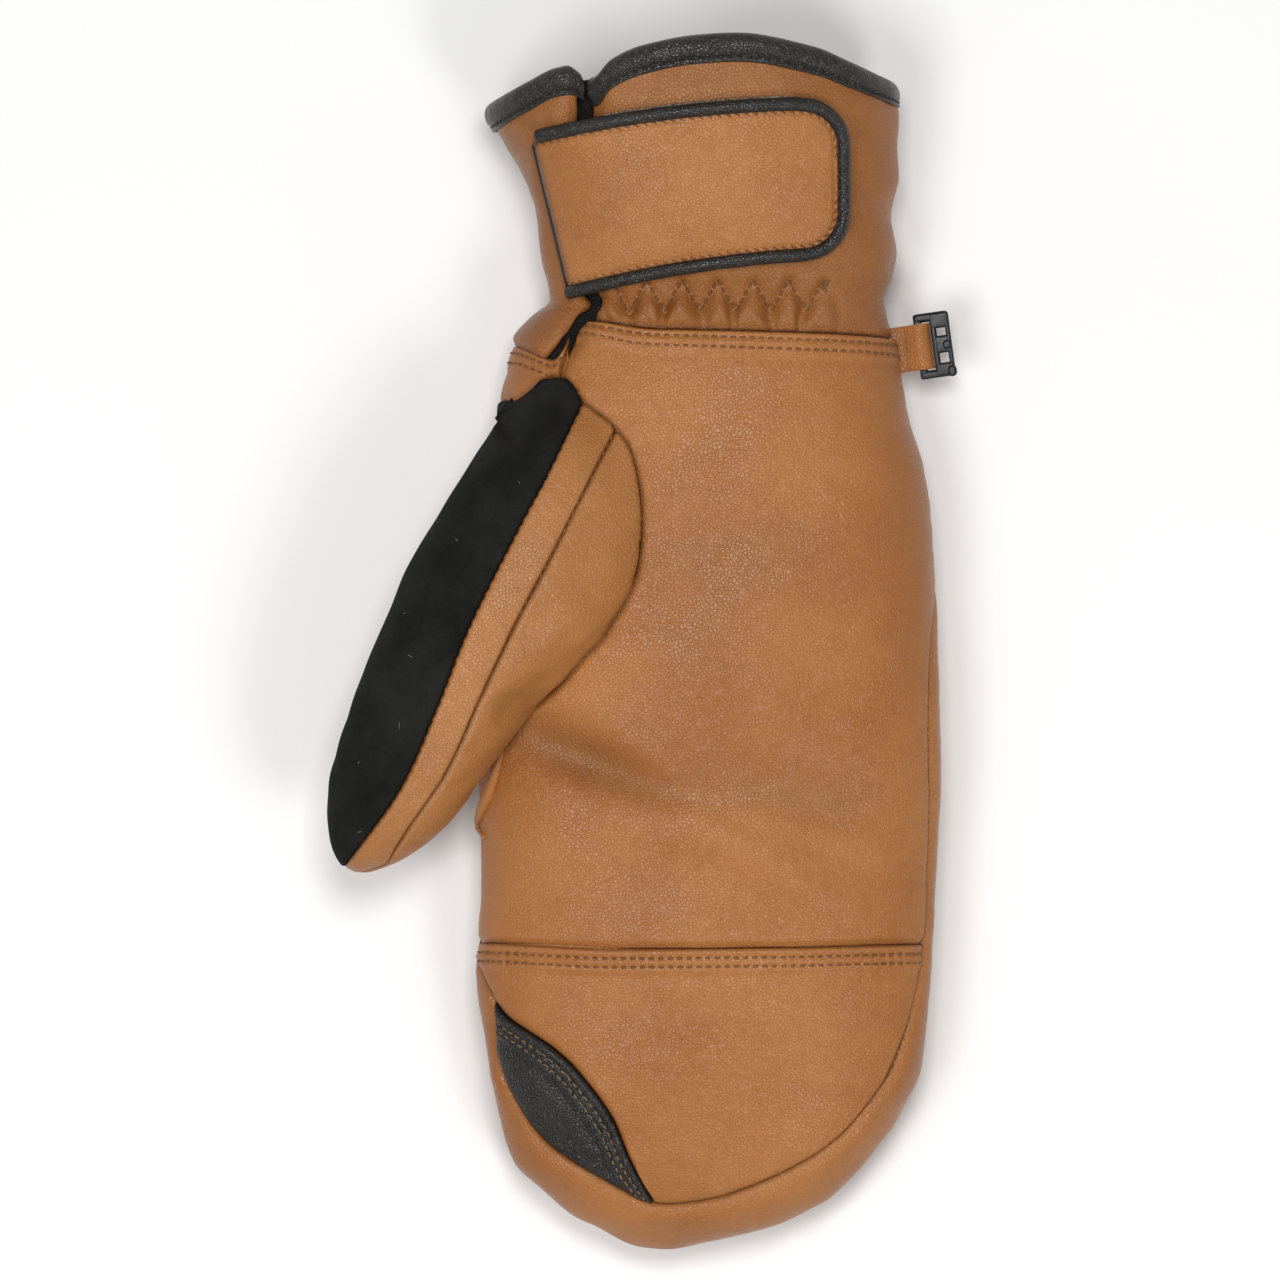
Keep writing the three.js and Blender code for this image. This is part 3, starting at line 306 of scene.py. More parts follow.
def hand_normals(points):
    """Directions square to the hand or cuff at points on it."""

    def level(shift):
        x, y, z = np.moveaxis(points + shift, -1, 0)
        middle, half, top, side, base = section(y)
        across = np.abs((x - middle) / half)
        over = np.maximum(z - side, 0) / (top - side - dents(x, y) - valley(x, y))
        under = np.maximum(side - z, 0) / (side - base)
        upper = across**TOP_FULLNESS + over**TOP_FULLNESS
        return np.where(z > side, upper, across**UNDER_FULLNESS + under**UNDER_FULLNESS)

    steps = 0.05 * np.eye(3)
    normal = np.stack([level(step) - level(-step) for step in steps], -1)
    normal[points[..., 2] < 0.02] = (0, 0, -1)
    return normal / np.maximum(np.linalg.norm(normal, axis=-1, keepdims=True), 1e-9)


def angle_over(x, y):
    """The angle at which the palm side passes over x."""
    middle, half, *_ = section(y)
    share = np.clip((x - middle) / half, -1, 1)
    return np.arccos(np.sign(share) * np.abs(share) ** (TOP_FULLNESS / 2))


def low_side_angle(y, thumb_side):
    """The angle of the seam that runs low on the hand's side."""
    _, _, _, side, base = section(y)
    share = np.clip((side - SIDE_SEAM_HEIGHT) / (side - base), 0, 1)
    down = np.arcsin(share ** (UNDER_FULLNESS / 2))
    return np.pi + down if thumb_side else -down


def rim_points():
    """The seam round the hand as pairs of angle and y."""
    points = []
    for i, (across, along) in enumerate(RIM_SEAM):
        y = (along - 0.5) * LENGTH
        if across is None:
            points.append((float(low_side_angle(y, i > len(RIM_SEAM) / 2)), y))
        else:
            points.append((float(angle_over(across * WIDTH, y)), y))
    scaled = curve_through([(50 * angle, y) for angle, y in points], 0.7)
    return scaled / (50, 1)


def beside_vent(curve, side):
    """Moves a curve's end, where it runs along the vent, to one edge of the opening."""
    angle, y = curve[:, 0], curve[:, 1]
    x = hand_skin(angle, y)[:, 0]
    shift = side * VENT_HALF_OPENING * smoothstep(y, 56, 68) * (x < 0)
    return np.stack([np.where(shift == 0, angle, angle_over(x + shift, y)), y], 1)


rim = rim_points()
lowest = int(np.argmin(rim[:, 1]))
rim_right = rim[:lowest][::-1]
rim_left = beside_vent(rim[lowest:], 1)


def upper_share(points):
    """1 on the palm side and the sides, down to 0 at the very bottom."""
    _, _, _, side, base = section(points[..., 1])
    return smoothstep(1 + (points[..., 2] - side) / (side - base), 0, 1)


def slanted(points):
    """The wrist seam wanders, and the hand and the cuff beside it follow."""
    x, y = points[..., 0], points[..., 1]
    near = smoothstep(y, 30, WRIST) * (1 - smoothstep(y, WRIST, 100))
    return y + wrist_rise(x / WIDTH) * SLANT * near * upper_share(points)


seat = curve_through(THUMB_SEAT, 1.0)
seat_region = np.concatenate([seat, [(-150, -34), (-150, 58)]])


def inside_outline(x, y, outline):
    inside = np.zeros(x.shape, bool)
    for (x0, y0), (x1, y1) in zip(outline, np.roll(outline, -1, axis=0)):
        if y0 != y1:
            crosses = (y0 > y) != (y1 > y)
            inside ^= crosses & (x < (x1 - x0) * (y - y0) / (y1 - y0) + x0)
    return inside


def distance_to_line(x, y, line):
    nearest = np.full(x.shape, 1e9)
    for (x0, y0), (x1, y1) in zip(line[:-1], line[1:]):
        run = np.array((x1 - x0, y1 - y0))
        t = np.clip(((x - x0) * run[0] + (y - y0) * run[1]) / (run @ run), 0, 1)
        nearest = np.minimum(nearest, np.hypot(x - x0 - t * run[0], y - y0 - t * run[1]))
    return nearest


def seat_distance(x, y):
    """Distance to the seam round the thumb: above 0 on the thumb's side of it."""
    nearest = distance_to_line(x, y, seat[::2])
    return np.where(inside_outline(x, y, seat_region), nearest, -nearest)


def ripple(x, y, wavelength, seed):
    """Gentle uneven waves, between about -1 and 1."""
    draw = np.random.default_rng(seed)
    total = np.zeros(np.broadcast(x, y).shape)
    for _ in range(7):
        turn, phase = draw.uniform(0, 2 * np.pi, 2)
        wave = 2 * np.pi / (wavelength * draw.uniform(0.7, 1.5))
        total += np.sin(wave * (x * np.cos(turn) + y * np.sin(turn)) + phase)
    return total / 3.5


def stations(length, fine, coarse, reach=7.5, rows=()):
    """Distances from 0 to a length, close together near both ends, with the given rows among them."""
    near = np.arange(0, min(reach, length / 2), fine)
    middle = np.linspace(near[-1], length - near[-1], max(int((length - 2 * near[-1]) / coarse), 1) + 1)
    every = np.concatenate([near, middle, length - near, rows])
    every = np.unique(np.round(every, 3))
    return every[np.concatenate([[True], np.diff(every) > 0.12])]


def edge_lengths(grid):
    """Lengths along a grid's rows and columns, from each of its four edges."""
    down = np.linalg.norm(np.diff(grid, axis=0), axis=2)
    over = np.linalg.norm(np.diff(grid, axis=1), axis=2)
    from_top = np.concatenate([np.zeros((1, grid.shape[1])), np.cumsum(down, axis=0)])
    from_left = np.concatenate([np.zeros((grid.shape[0], 1)), np.cumsum(over, axis=1)], axis=1)
    return from_top, from_top[-1:] - from_top, from_left, from_left[:, -1:] - from_left


def grid_normals(grid, facing):
    across = np.gradient(grid, axis=1)
    down = np.gradient(grid, axis=0)
    normal = np.cross(down, across)
    size = np.linalg.norm(normal, axis=2, keepdims=True)
    normal = np.where(size > 1e-9, normal / np.maximum(size, 1e-9), np.array(facing, float))
    return normal * (1 if (normal.mean((0, 1)) @ np.array(facing, float)) > 0 else -1)


def turned_edge(distance, radius, depth):
    """How far leather drops where it turns down into a seam."""
    left = 1 - np.clip(distance / radius, 0, 1)
    return depth * (1 - np.sqrt(1 - left**2))


def topstitched(distance, along, rows, radius=1.0, depth=1.1, lift=0.6):
    """The relief of a folded edge that lies on its neighbour, held down by rows of stitches."""
    relief = lift * (1 - smoothstep(distance, rows[-1], rows[-1] + 3)) - turned_edge(distance, radius, depth)
    for row in rows:
        tight = 0.75 + 0.25 * np.cos(2 * np.pi * along / STITCH_PITCH)
        relief = relief - 0.55 * bell(distance - row, 0.6) * tight
    return relief - 0.2 * bell(distance - rows[-1] - 2.2, 1.6)


def puckers(distance, along, seed, size=0.16, reach=6):
    """Small folds that run away from a seam."""
    pull = ripple(along, 0 * along, 6.5, seed) + 0.6 * ripple(along, 0 * along, 3.4, seed + 1)
    return size * pull * np.exp(-distance / reach) * smoothstep(distance, 0.3, 2)


def hide_tone_and_shade_group():
    """Uneven dye: two colours mixed by soft noise, and painted shade: darker where a piece is creased or
    sewn, where shade falls.
    """
    group = bpy.data.node_groups.new("uneven_dye_and_painted_shade", "ShaderNodeTree")
    for name, kind in [("Deep", "Color"), ("Pale", "Color"), ("PaintedShade", "Color"), ("Patch", "Float")]:
        group.interface.new_socket(name, in_out="INPUT", socket_type="NodeSocket" + kind)
    group.interface.new_socket("Colour", in_out="OUTPUT", socket_type="NodeSocketColor")
    given = group.nodes.new("NodeGroupInput")
    result = group.nodes.new("NodeGroupOutput")
    place = group.nodes.new("ShaderNodeTexCoord")
    cloud = group.nodes.new("ShaderNodeTexNoise")
    cloud.inputs["Detail"].default_value = 4
    cloud.inputs["Roughness"].default_value = 0.55
    spread = group.nodes.new("ShaderNodeMapRange")
    spread.inputs["From Min"].default_value = 0.36
    spread.inputs["From Max"].default_value = 0.64
    speck = group.nodes.new("ShaderNodeTexNoise")
    speck.inputs["Scale"].default_value = 900
    speck.inputs["Detail"].default_value = 2
    speck_range = group.nodes.new("ShaderNodeMapRange")
    speck_range.inputs["From Min"].default_value = 0.3
    speck_range.inputs["From Max"].default_value = 0.7
    speck_range.inputs["To Min"].default_value = -0.16
    speck_range.inputs["To Max"].default_value = 0.16
    total = group.nodes.new("ShaderNodeMath")
    total.use_clamp = True
    blend = group.nodes.new("ShaderNodeMix")
    blend.data_type = "RGBA"
    # The crease attribute is painted shade: it mixes in the shade colour at seams, grooves and dents.
    crease = group.nodes.new("ShaderNodeAttribute")
    crease.attribute_name = "crease"
    painted_shade_mix = group.nodes.new("ShaderNodeMix")
    painted_shade_mix.data_type = "RGBA"
    link = group.links.new
    for texture in (cloud, speck):
        link(place.outputs["Object"], texture.inputs["Vector"])
    link(given.outputs["Patch"], cloud.inputs["Scale"])
    link(cloud.outputs["Fac"], spread.inputs["Value"])
    link(speck.outputs["Fac"], speck_range.inputs["Value"])
    link(spread.outputs["Result"], total.inputs[0])
    link(speck_range.outputs["Result"], total.inputs[1])
    link(total.outputs["Value"], blend.inputs["Factor"])
    link(given.outputs["Deep"], blend.inputs["A"])
    link(given.outputs["Pale"], blend.inputs["B"])
    link(crease.outputs["Fac"], painted_shade_mix.inputs["Factor"])
    link(blend.outputs["Result"], painted_shade_mix.inputs["A"])
    link(given.outputs["PaintedShade"], painted_shade_mix.inputs["B"])
    link(painted_shade_mix.outputs["Result"], result.inputs["Colour"])
    return group


def grain_group():
    """Leather grain as a height: rounded pebbles parted by fine creases, over a softer unevenness."""
    group = bpy.data.node_groups.new("leather_grain", "ShaderNodeTree")
    group.interface.new_socket("Pebbles", in_out="INPUT", socket_type="NodeSocketFloat")
    group.interface.new_socket("Height", in_out="OUTPUT", socket_type="NodeSocketFloat")
    given = group.nodes.new("NodeGroupInput")
    result = group.nodes.new("NodeGroupOutput")
    place = group.nodes.new("ShaderNodeTexCoord")
    warp = group.nodes.new("ShaderNodeTexNoise")
    warp.inputs["Scale"].default_value = 260
    warp.inputs["Detail"].default_value = 2
    shift = group.nodes.new("ShaderNodeVectorMath")
    shift.operation = "MULTIPLY_ADD"
    shift.inputs[1].default_value = (0.0016, 0.0016, 0.0016)
    pebble = group.nodes.new("ShaderNodeTexVoronoi")
    pebble.feature = "SMOOTH_F1"
    pebble.inputs["Smoothness"].default_value = 0.35
    crease = group.nodes.new("ShaderNodeTexVoronoi")
    crease.feature = "DISTANCE_TO_EDGE"
    crease_range = group.nodes.new("ShaderNodeMapRange")
    crease_range.inputs["From Max"].default_value = 0.16
    soft = group.nodes.new("ShaderNodeTexNoise")
    soft.inputs["Scale"].default_value = 330
    soft.inputs["Detail"].default_value = 5
    rounded = group.nodes.new("ShaderNodeMath")
    rounded.operation = "MULTIPLY_ADD"
    rounded.inputs[1].default_value = -0.75
    total = group.nodes.new("ShaderNodeMath")
    link = group.links.new
    link(place.outputs["Object"], warp.inputs["Vector"])
    link(warp.outputs["Color"], shift.inputs[0])
    link(place.outputs["Object"], shift.inputs[2])
    for texture in (pebble, crease):
        link(shift.outputs["Vector"], texture.inputs["Vector"])
        link(given.outputs["Pebbles"], texture.inputs["Scale"])
    link(place.outputs["Object"], soft.inputs["Vector"])
    link(crease.outputs["Distance"], crease_range.inputs["Value"])
    link(pebble.outputs["Distance"], rounded.inputs[0])
    link(crease_range.outputs["Result"], rounded.inputs[2])
    link(rounded.outputs["Value"], total.inputs[0])
    link(soft.outputs["Fac"], total.inputs[1])
    link(total.outputs["Value"], result.inputs["Height"])
    return group


def gloss_group():
    """Roughness that wanders between two values, as on handled leather."""
    group = bpy.data.node_groups.new("uneven_gloss", "ShaderNodeTree")
    for name in ("Smooth", "Rough"):
        group.interface.new_socket(name, in_out="INPUT", socket_type="NodeSocketFloat")
    group.interface.new_socket("Roughness", in_out="OUTPUT", socket_type="NodeSocketFloat")
    given = group.nodes.new("NodeGroupInput")
    result = group.nodes.new("NodeGroupOutput")
    place = group.nodes.new("ShaderNodeTexCoord")
    noise = group.nodes.new("ShaderNodeTexNoise")
    noise.inputs["Scale"].default_value = 55
    noise.inputs["Detail"].default_value = 6
    spread = group.nodes.new("ShaderNodeMapRange")
    spread.inputs["From Min"].default_value = 0.35
    spread.inputs["From Max"].default_value = 0.65
    link = group.links.new
    link(place.outputs["Object"], noise.inputs["Vector"])
    link(noise.outputs["Fac"], spread.inputs["Value"])
    link(given.outputs["Smooth"], spread.inputs["To Min"])
    link(given.outputs["Rough"], spread.inputs["To Max"])
    link(spread.outputs["Result"], result.inputs["Roughness"])
    return group


UNEVEN_DYE_AND_SHADE = hide_tone_and_shade_group()
LEATHER_GRAIN = grain_group()
UNEVEN_GLOSS = gloss_group()


def leather_material(name, deep, pale, painted_shade_colour, gloss, grain, pebbles=1150, patch=28, specular=0.5):
    """Leather with uneven dye, painted shade in its seams and creases, uneven gloss and a grain of so many
    pebbles to the metre.
    """
    material = bpy.data.materials.new(name)
    material.use_nodes = True
    tree = material.node_tree
    shader = tree.nodes["Principled BSDF"]
    shader.inputs["Specular IOR Level"].default_value = specular
    dye = tree.nodes.new("ShaderNodeGroup")
    dye.node_tree = UNEVEN_DYE_AND_SHADE
    dye.inputs["Deep"].default_value = (*deep, 1)
    dye.inputs["Pale"].default_value = (*pale, 1)
    dye.inputs["PaintedShade"].default_value = (*painted_shade_colour, 1)
    dye.inputs["Patch"].default_value = patch
    gloss_node = tree.nodes.new("ShaderNodeGroup")
    gloss_node.node_tree = UNEVEN_GLOSS
    gloss_node.inputs["Smooth"].default_value = gloss[0]
    gloss_node.inputs["Rough"].default_value = gloss[1]
    grain_node = tree.nodes.new("ShaderNodeGroup")
    grain_node.node_tree = LEATHER_GRAIN
    grain_node.inputs["Pebbles"].default_value = pebbles
    bump = tree.nodes.new("ShaderNodeBump")
    bump.inputs["Strength"].default_value = 1
    bump.inputs["Distance"].default_value = grain
    tree.links.new(dye.outputs["Colour"], shader.inputs["Base Color"])
    tree.links.new(gloss_node.outputs["Roughness"], shader.inputs["Roughness"])
    tree.links.new(grain_node.outputs["Height"], bump.inputs["Height"])
    tree.links.new(bump.outputs["Normal"], shader.inputs["Normal"])
    return material


# The tan's shade colour is the painted shade that its seams and creases darken to.
def tan_leather(name, deep, pale, specular, painted_shade_colour=(0.1, 0.033, 0.008), gloss=(0.36, 0.48)):
    return leather_material(name, deep, pale, painted_shade_colour, gloss, grain=0.00008, specular=specular)


# The thumb's tan is paler than the hand's: partly a paler hide and partly painted sheen, where the light
# falls on the thumb.
TAN = tan_leather("tan_goat_leather", (0.315, 0.113, 0.0255), (0.385, 0.15, 0.039), 0.4)
PALE_TAN_PAINTED_SHEEN = tan_leather("paler_tan_leather_painted_sheen", (0.34, 0.132, 0.035), (0.425, 0.178, 0.053), 0.45)


def finished(name, points, faces, material, nodes=(), slot=None, crease=None, ride="root"):
    """Makes one piece, in metres, and hangs it on the frame."""
    mesh = bpy.data.meshes.new(name)
    mesh.from_pydata((np.asarray(points) * MM).tolist(), [], [tuple(face) for face in faces])
    mesh.validate()
    mesh.polygons.foreach_set("use_smooth", np.ones(len(mesh.polygons), bool))
    # The crease values are painted shade, darkening the piece where shade falls in its seams and grooves.
    if crease is not None:
        shade = mesh.attributes.new("crease", "FLOAT", "POINT")
        shade.data.foreach_set("value", np.clip(crease, 0, 1).astype(np.float32))
    mesh.materials.append(material)
    mesh.update()
    thing = placed(name, mesh)
    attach(thing, ride)
    if nodes:
        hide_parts(*nodes)
    return thing


def wall(outer, inner, keep=None):
    """Points and faces of the closed wall between two grids, where keep is true for a corner."""
    rows, columns = outer.shape[:2]
    total = rows * columns
    index = np.arange(total).reshape(rows, columns)
    quads = np.stack([index[:-1, :-1], index[1:, :-1], index[1:, 1:], index[:-1, 1:]], -1)
    quads = quads.reshape(-1, 4)
    points = np.concatenate([outer.reshape(-1, 3), inner.reshape(-1, 3)])
    if keep is not None:
        quads = quads[keep.ravel()[quads].any(1)]
    edges = quads[:, [0, 1, 1, 2, 2, 3, 3, 0]].reshape(-1, 2)
    forward = edges[:, 0] * total + edges[:, 1]
    backward = edges[:, 1] * total + edges[:, 0]
    border = edges[~np.isin(forward, backward)]
    sides = np.stack([border[:, 1], border[:, 0], border[:, 0] + total, border[:, 1] + total], -1)
    faces = np.concatenate([quads, quads[:, ::-1] + total, sides])
    corner = points[faces]
    first = np.cross(corner[:, 1] - corner[:, 0], corner[:, 2] - corner[:, 0])
    second = np.cross(corner[:, 2] - corner[:, 0], corner[:, 3] - corner[:, 0])
    if (corner[:, 0] * (first + second)).sum() < 0:
        faces = faces[:, ::-1]
    used = np.unique(faces)
    renumber = np.zeros(2 * total, int)
    renumber[used] = np.arange(len(used))
    return points[used], renumber[faces], used


def panel(name, base, normal, relief, material, nodes, slot, crease, keep=None):
    """A piece of leather: a grid of its outside, its relief and its painted crease shade."""
    outer = base + normal * relief[..., None]
    outer[..., 2] = np.maximum(outer[..., 2], 0)
    inner = base - normal * LEATHER
    inner[..., 2] = np.maximum(inner[..., 2], 0.8)
    points, faces, used = wall(outer, inner, keep)
    shade = np.concatenate([crease.ravel(), crease.ravel()])[used]
    return finished(name, points, faces, material, nodes, slot, shade), outer, normal


def angles_at(shares, start, end, y, samples):
    """Angles at shares of the way over the skin at y, from one angle to another."""
    fine = np.linspace(start, end, samples)
    at = travelled(hand_skin(fine, y))
    return np.interp(shares * at[-1], at, fine)


def palm_grid():
    y = FINGER_LINE + stations(WRIST - FINGER_LINE, 0.45, 0.75, rows=STITCH_ROWS_FROM_WRIST)
    right = np.interp(y, rim_right[:, 1], rim_right[:, 0])
    left = np.interp(y, rim_left[:, 1], rim_left[:, 0])
    shares = stations(110, 0.5, 0.75, reach=5) / 110
    angles = [angles_at(shares, start, end, row, 240) for row, start, end in zip(y, right, left)]
    angles = np.array(angles)
    straight = hand_skin(angles, y[:, None])
    near_fingers = 1 - smoothstep(y, FINGER_LINE, FINGER_LINE + 30)[:, None]
    wander = (finger_along(straight[..., 0] / WIDTH) - 0.5) * LENGTH - FINGER_LINE
    return hand_skin(angles, slanted(straight) + wander * near_fingers)


WRIST_ROWS = (1.9, 4.4)
STITCH_ROWS_FROM_WRIST = [WRIST - FINGER_LINE - row for row in WRIST_ROWS]
palm_base = palm_grid()
from_fingers, from_wrist, from_right, from_left = edge_lengths(palm_base)
palm_x, palm_y = palm_base[..., 0], palm_base[..., 1]
to_seat = seat_distance(palm_x, palm_y)
palm_relief = topstitched(from_wrist, from_right, WRIST_ROWS)
palm_relief -= 1.0 * (1 - smoothstep(from_fingers, 0, 2.2))
palm_relief -= turned_edge(from_right, 2.4, 1.5) + turned_edge(from_left, 1.5, 1.2)
palm_relief += puckers(from_right, palm_y, 5) + puckers(from_wrist - 4, palm_x, 6, 0.1, 9)
palm_relief += 0.22 * ripple(palm_x, palm_y, 26, 1) + 0.07 * ripple(palm_x, palm_y, 8, 2)
palm_relief += puckers(np.abs(to_seat), palm_y, 8, 0.12, 7)
palm_relief -= turned_edge(-to_seat, 1.3, 0.65) * (to_seat < 0)
palm_side = section(palm_y)[3]
palm_over = smoothstep(palm_base[..., 2], palm_side + 3, palm_side + 8)
palm_relief -= palm_over * (to_seat > 0) * (0.65 + np.minimum(1.4 * to_seat, 2.8))
# Painted shade: the palm is darkened at its seams and in its dents, where shade falls.
palm_painted_shade = 0.75 * bell(from_fingers, 0.5) + 0.6 * bell(from_right, 0.45)
palm_painted_shade += 0.42 * np.clip(dents(palm_x, palm_y) / 5.5, 0, 1)
palm_painted_shade += 0.5 * bell(to_seat, 0.5) + 0.5 * bell(from_wrist, 0.4)
palm_keep = (to_seat < 3.5) | (palm_base[..., 2] < palm_side + 6)
palm, palm_outer, palm_normal = panel(
    "palm_panel_leather", palm_base, hand_normals(palm_base), palm_relief, TAN,
    ["palm_panel"], "tan_leather", palm_painted_shade, palm_keep,
)

# Finger panel: a second piece of the same leather over the fingers. Its straight top edge is folded
# and topstitched on the palm panel, and its curved edge is sewn to the back and to the black corner.
FINGER_ROWS = (2.3, 4.5)
PATCH_SEAM = [
    (-0.468, 0.203), (-0.442, 0.191), (-0.392, 0.178), (-0.343, 0.166), (-0.302, 0.153),
    (-0.263, 0.136), (-0.209, 0.107), (-0.17, 0.072), (-0.121, 0.038),
]


def spot_of(across, along):
    return across * WIDTH, (along - 0.5) * LENGTH


def between(start, end, distances_of, samples=90):
    """A grid of points on the skin between two curves given as angle and y."""
    t = np.linspace(0, 1, samples)[:, None]
    lines = hand_skin(start[:, 0] + t * (end - start)[:, 0], start[:, 1] + t * (end - start)[:, 1])
    return np.stack([evenly(lines[:, i], distances_of) for i in range(lines.shape[1])], 1)


def part_of(curve, start_y, end_y, falling):
    picked = curve[(curve[:, 1] <= max(start_y, end_y)) & (curve[:, 1] >= min(start_y, end_y))]
    order = np.argsort(picked[:, 1])
    return picked[order[::-1]] if falling else picked[order]


patch_plan = curve_through([spot_of(*row) for row in PATCH_SEAM], 0.6)
patch_angles = np.stack([angle_over(patch_plan[:, 0], patch_plan[:, 1]), patch_plan[:, 1]], 1)
patch_top = patch_plan[0, 1]
right_corner = (np.interp(FINGER_LINE, rim_right[:, 1], rim_right[:, 0]), FINGER_LINE)
left_corner = (np.interp(FINGER_LINE, rim_left[:, 1], rim_left[:, 0]), FINGER_LINE)
low_left = part_of(rim_left, FINGER_LINE, patch_top, True)
rim_plan = hand_skin(rim[:, 0], rim[:, 1])
patch_end = int(np.argmin(np.hypot(*(rim_plan[:, :2] - patch_plan[-1]).T)))
low_right = rim[:patch_end]
low_right = low_right[low_right[:, 1] < FINGER_LINE][::-1]
outer_edge = np.concatenate([[left_corner], low_left, patch_angles, low_right, [right_corner]])


def scaled_evenly(curve, count):
    return evenly(curve * (45, 1), count) / (45, 1)


def line_at(field, value, *grids):
    """The line across a grid's columns where a field has a value, read from each of some grids."""
    lines = []
    for grid in grids:
        columns = []
        for i in range(field.shape[1]):
            order = np.argsort(field[:, i])
            columns.append([np.interp(value, field[order, i], grid[order, i, k]) for k in range(3)])
        lines.append(np.array(columns))
    return lines


FINGER_COLUMNS = 340
outer_edge = scaled_evenly(outer_edge, FINGER_COLUMNS)
top_angles = np.linspace(left_corner[0], right_corner[0], 600)
top_x = hand_skin(top_angles, FINGER_LINE)[:, 0]
edge_x = hand_skin(outer_edge[:, 0], outer_edge[:, 1])[:, 0]
spread = (np.maximum.accumulate(edge_x) - edge_x[0]) / (edge_x.max() - edge_x[0])
spread = 0.5 * spread + 0.5 * np.linspace(0, 1, FINGER_COLUMNS)
top_line = evenly(hand_skin(top_angles, FINGER_LINE), spread)
top_edge = np.stack([np.interp(spread, (top_x - top_x[0]) / (top_x[-1] - top_x[0]), top_angles),
                     (finger_along(top_line[:, 0] / WIDTH) - 0.5) * LENGTH], 1)
finger_shares = stations(62, 0.45, 0.85, rows=FINGER_ROWS) / 62
finger_base = between(top_edge, outer_edge, finger_shares)
_, from_rim, from_left, from_right = edge_lengths(finger_base)
finger_x, finger_y = finger_base[..., 0], finger_base[..., 1]
top_distance = (finger_along(finger_x / WIDTH) - 0.5) * LENGTH - finger_y
finger_relief = topstitched(top_distance, finger_x, FINGER_ROWS)
at_end = 1 - smoothstep(np.minimum(from_left, from_right), 0, 7)
finger_relief -= 0.75 * at_end * (1 - smoothstep(top_distance, 4, 9))
finger_relief -= turned_edge(from_rim, 3.2, 1.9) * smoothstep(top_distance, -0.5, 0.5)
finger_relief += puckers(from_rim, from_left, 15, 0.08, 6)
finger_relief += puckers(np.maximum(top_distance - 4, 0), finger_x, 16, 0.1, 9)
finger_relief += 0.2 * ripple(finger_x, finger_y, 24, 11) + 0.06 * ripple(finger_x, finger_y, 7, 12)
# Painted shade at the finger panel's folded edge and at the rim seam.
finger_painted_shade = 0.45 * bell(top_distance, 0.4) + 0.55 * bell(from_rim, 0.45)
finger, finger_outer, finger_normal = panel(
    "finger_panel_leather", finger_base, hand_normals(finger_base), finger_relief, TAN,
    ["finger_panel"], "tan_leather", finger_painted_shade,
)

# Index patch: a corner of smooth black leather where the index fingertip wears most.
# Its long edge is folded and held by two rows of tan topstitching.

def black_leather(name, deep, pale, gloss=(0.31, 0.44), specular=0.5):
    # The black leather's painted shade colour, for its seams and creases.
    painted_shade_colour = (0.003, 0.003, 0.003)
    return leather_material(name, deep, pale, painted_shade_colour, gloss, grain=0.0001, pebbles=1300, specular=specular)


BLACK = black_leather("black_smooth_leather", (0.0118, 0.0108, 0.0094), (0.0205, 0.0192, 0.0168))
PATCH_BLACK = black_leather("patch_black_leather", (0.0088, 0.0081, 0.0071), (0.0155, 0.0145, 0.0127))
PATCH_ROWS = (2.5, 4.3)
PATCH_COLUMNS = 130
patch_start = patch_end + int(np.argmax(rim[patch_end:, 1] > patch_top))
patch_rim = rim[patch_end:patch_start][::-1]
patch_rim = np.concatenate([patch_angles[:1], patch_rim, patch_angles[-1:]])
patch_base = between(
    scaled_evenly(patch_angles, PATCH_COLUMNS),
    scaled_evenly(patch_rim, PATCH_COLUMNS),
    stations(17, 0.4, 0.6, reach=6, rows=PATCH_ROWS) / 17,
)
patch_from_top, patch_from_rim, patch_along, _ = edge_lengths(patch_base)
patch_relief = topstitched(patch_from_top, patch_along, PATCH_ROWS)
patch_relief -= turned_edge(patch_from_rim, 2.6, 1.8)
patch_relief += 0.35 * bell(patch_from_top - 10, 4)
patch_relief += 0.1 * ripple(patch_base[..., 0], patch_base[..., 1], 9, 21)
# The index patch gets painted shade at its folded edge and at the rim seam.
_, patch_outer, patch_normal = panel(
    "index_patch_leather", patch_base, hand_normals(patch_base), patch_relief, PATCH_BLACK,
    ["index_patch"], "black_leather", 0.8 * bell(patch_from_rim, 0.5) + 0.8 * bell(patch_from_top, 0.3),
)

# Back panel: one large piece of tan leather for the back of the hand, under the mitten as it lies.
# It wraps round the sides and the fingertips and shows as a rim beside the palm.
SPINE_END = -98


def outline_of_hand():
    """The hand's outline seen from above, from the little finger side round the tip."""
    y = np.concatenate([np.linspace(WRIST, -120, 300), np.linspace(-120, -153.2, 400)[1:]])
    middle, half, *_ = section(y)
    right = np.stack([middle + half, y], 1)
    left = np.stack([middle - half, y], 1)[::-1]
    return evenly(np.concatenate([right, left]), 1600)


def under_height(x, y):
    middle, half, _, side, base = section(y)
    share = np.clip(np.abs(x - middle) / half, 0, 1)
    low = side - (side - base) * (1 - share**UNDER_FULLNESS) ** (1 / UNDER_FULLNESS)
    return np.maximum(low, 0)


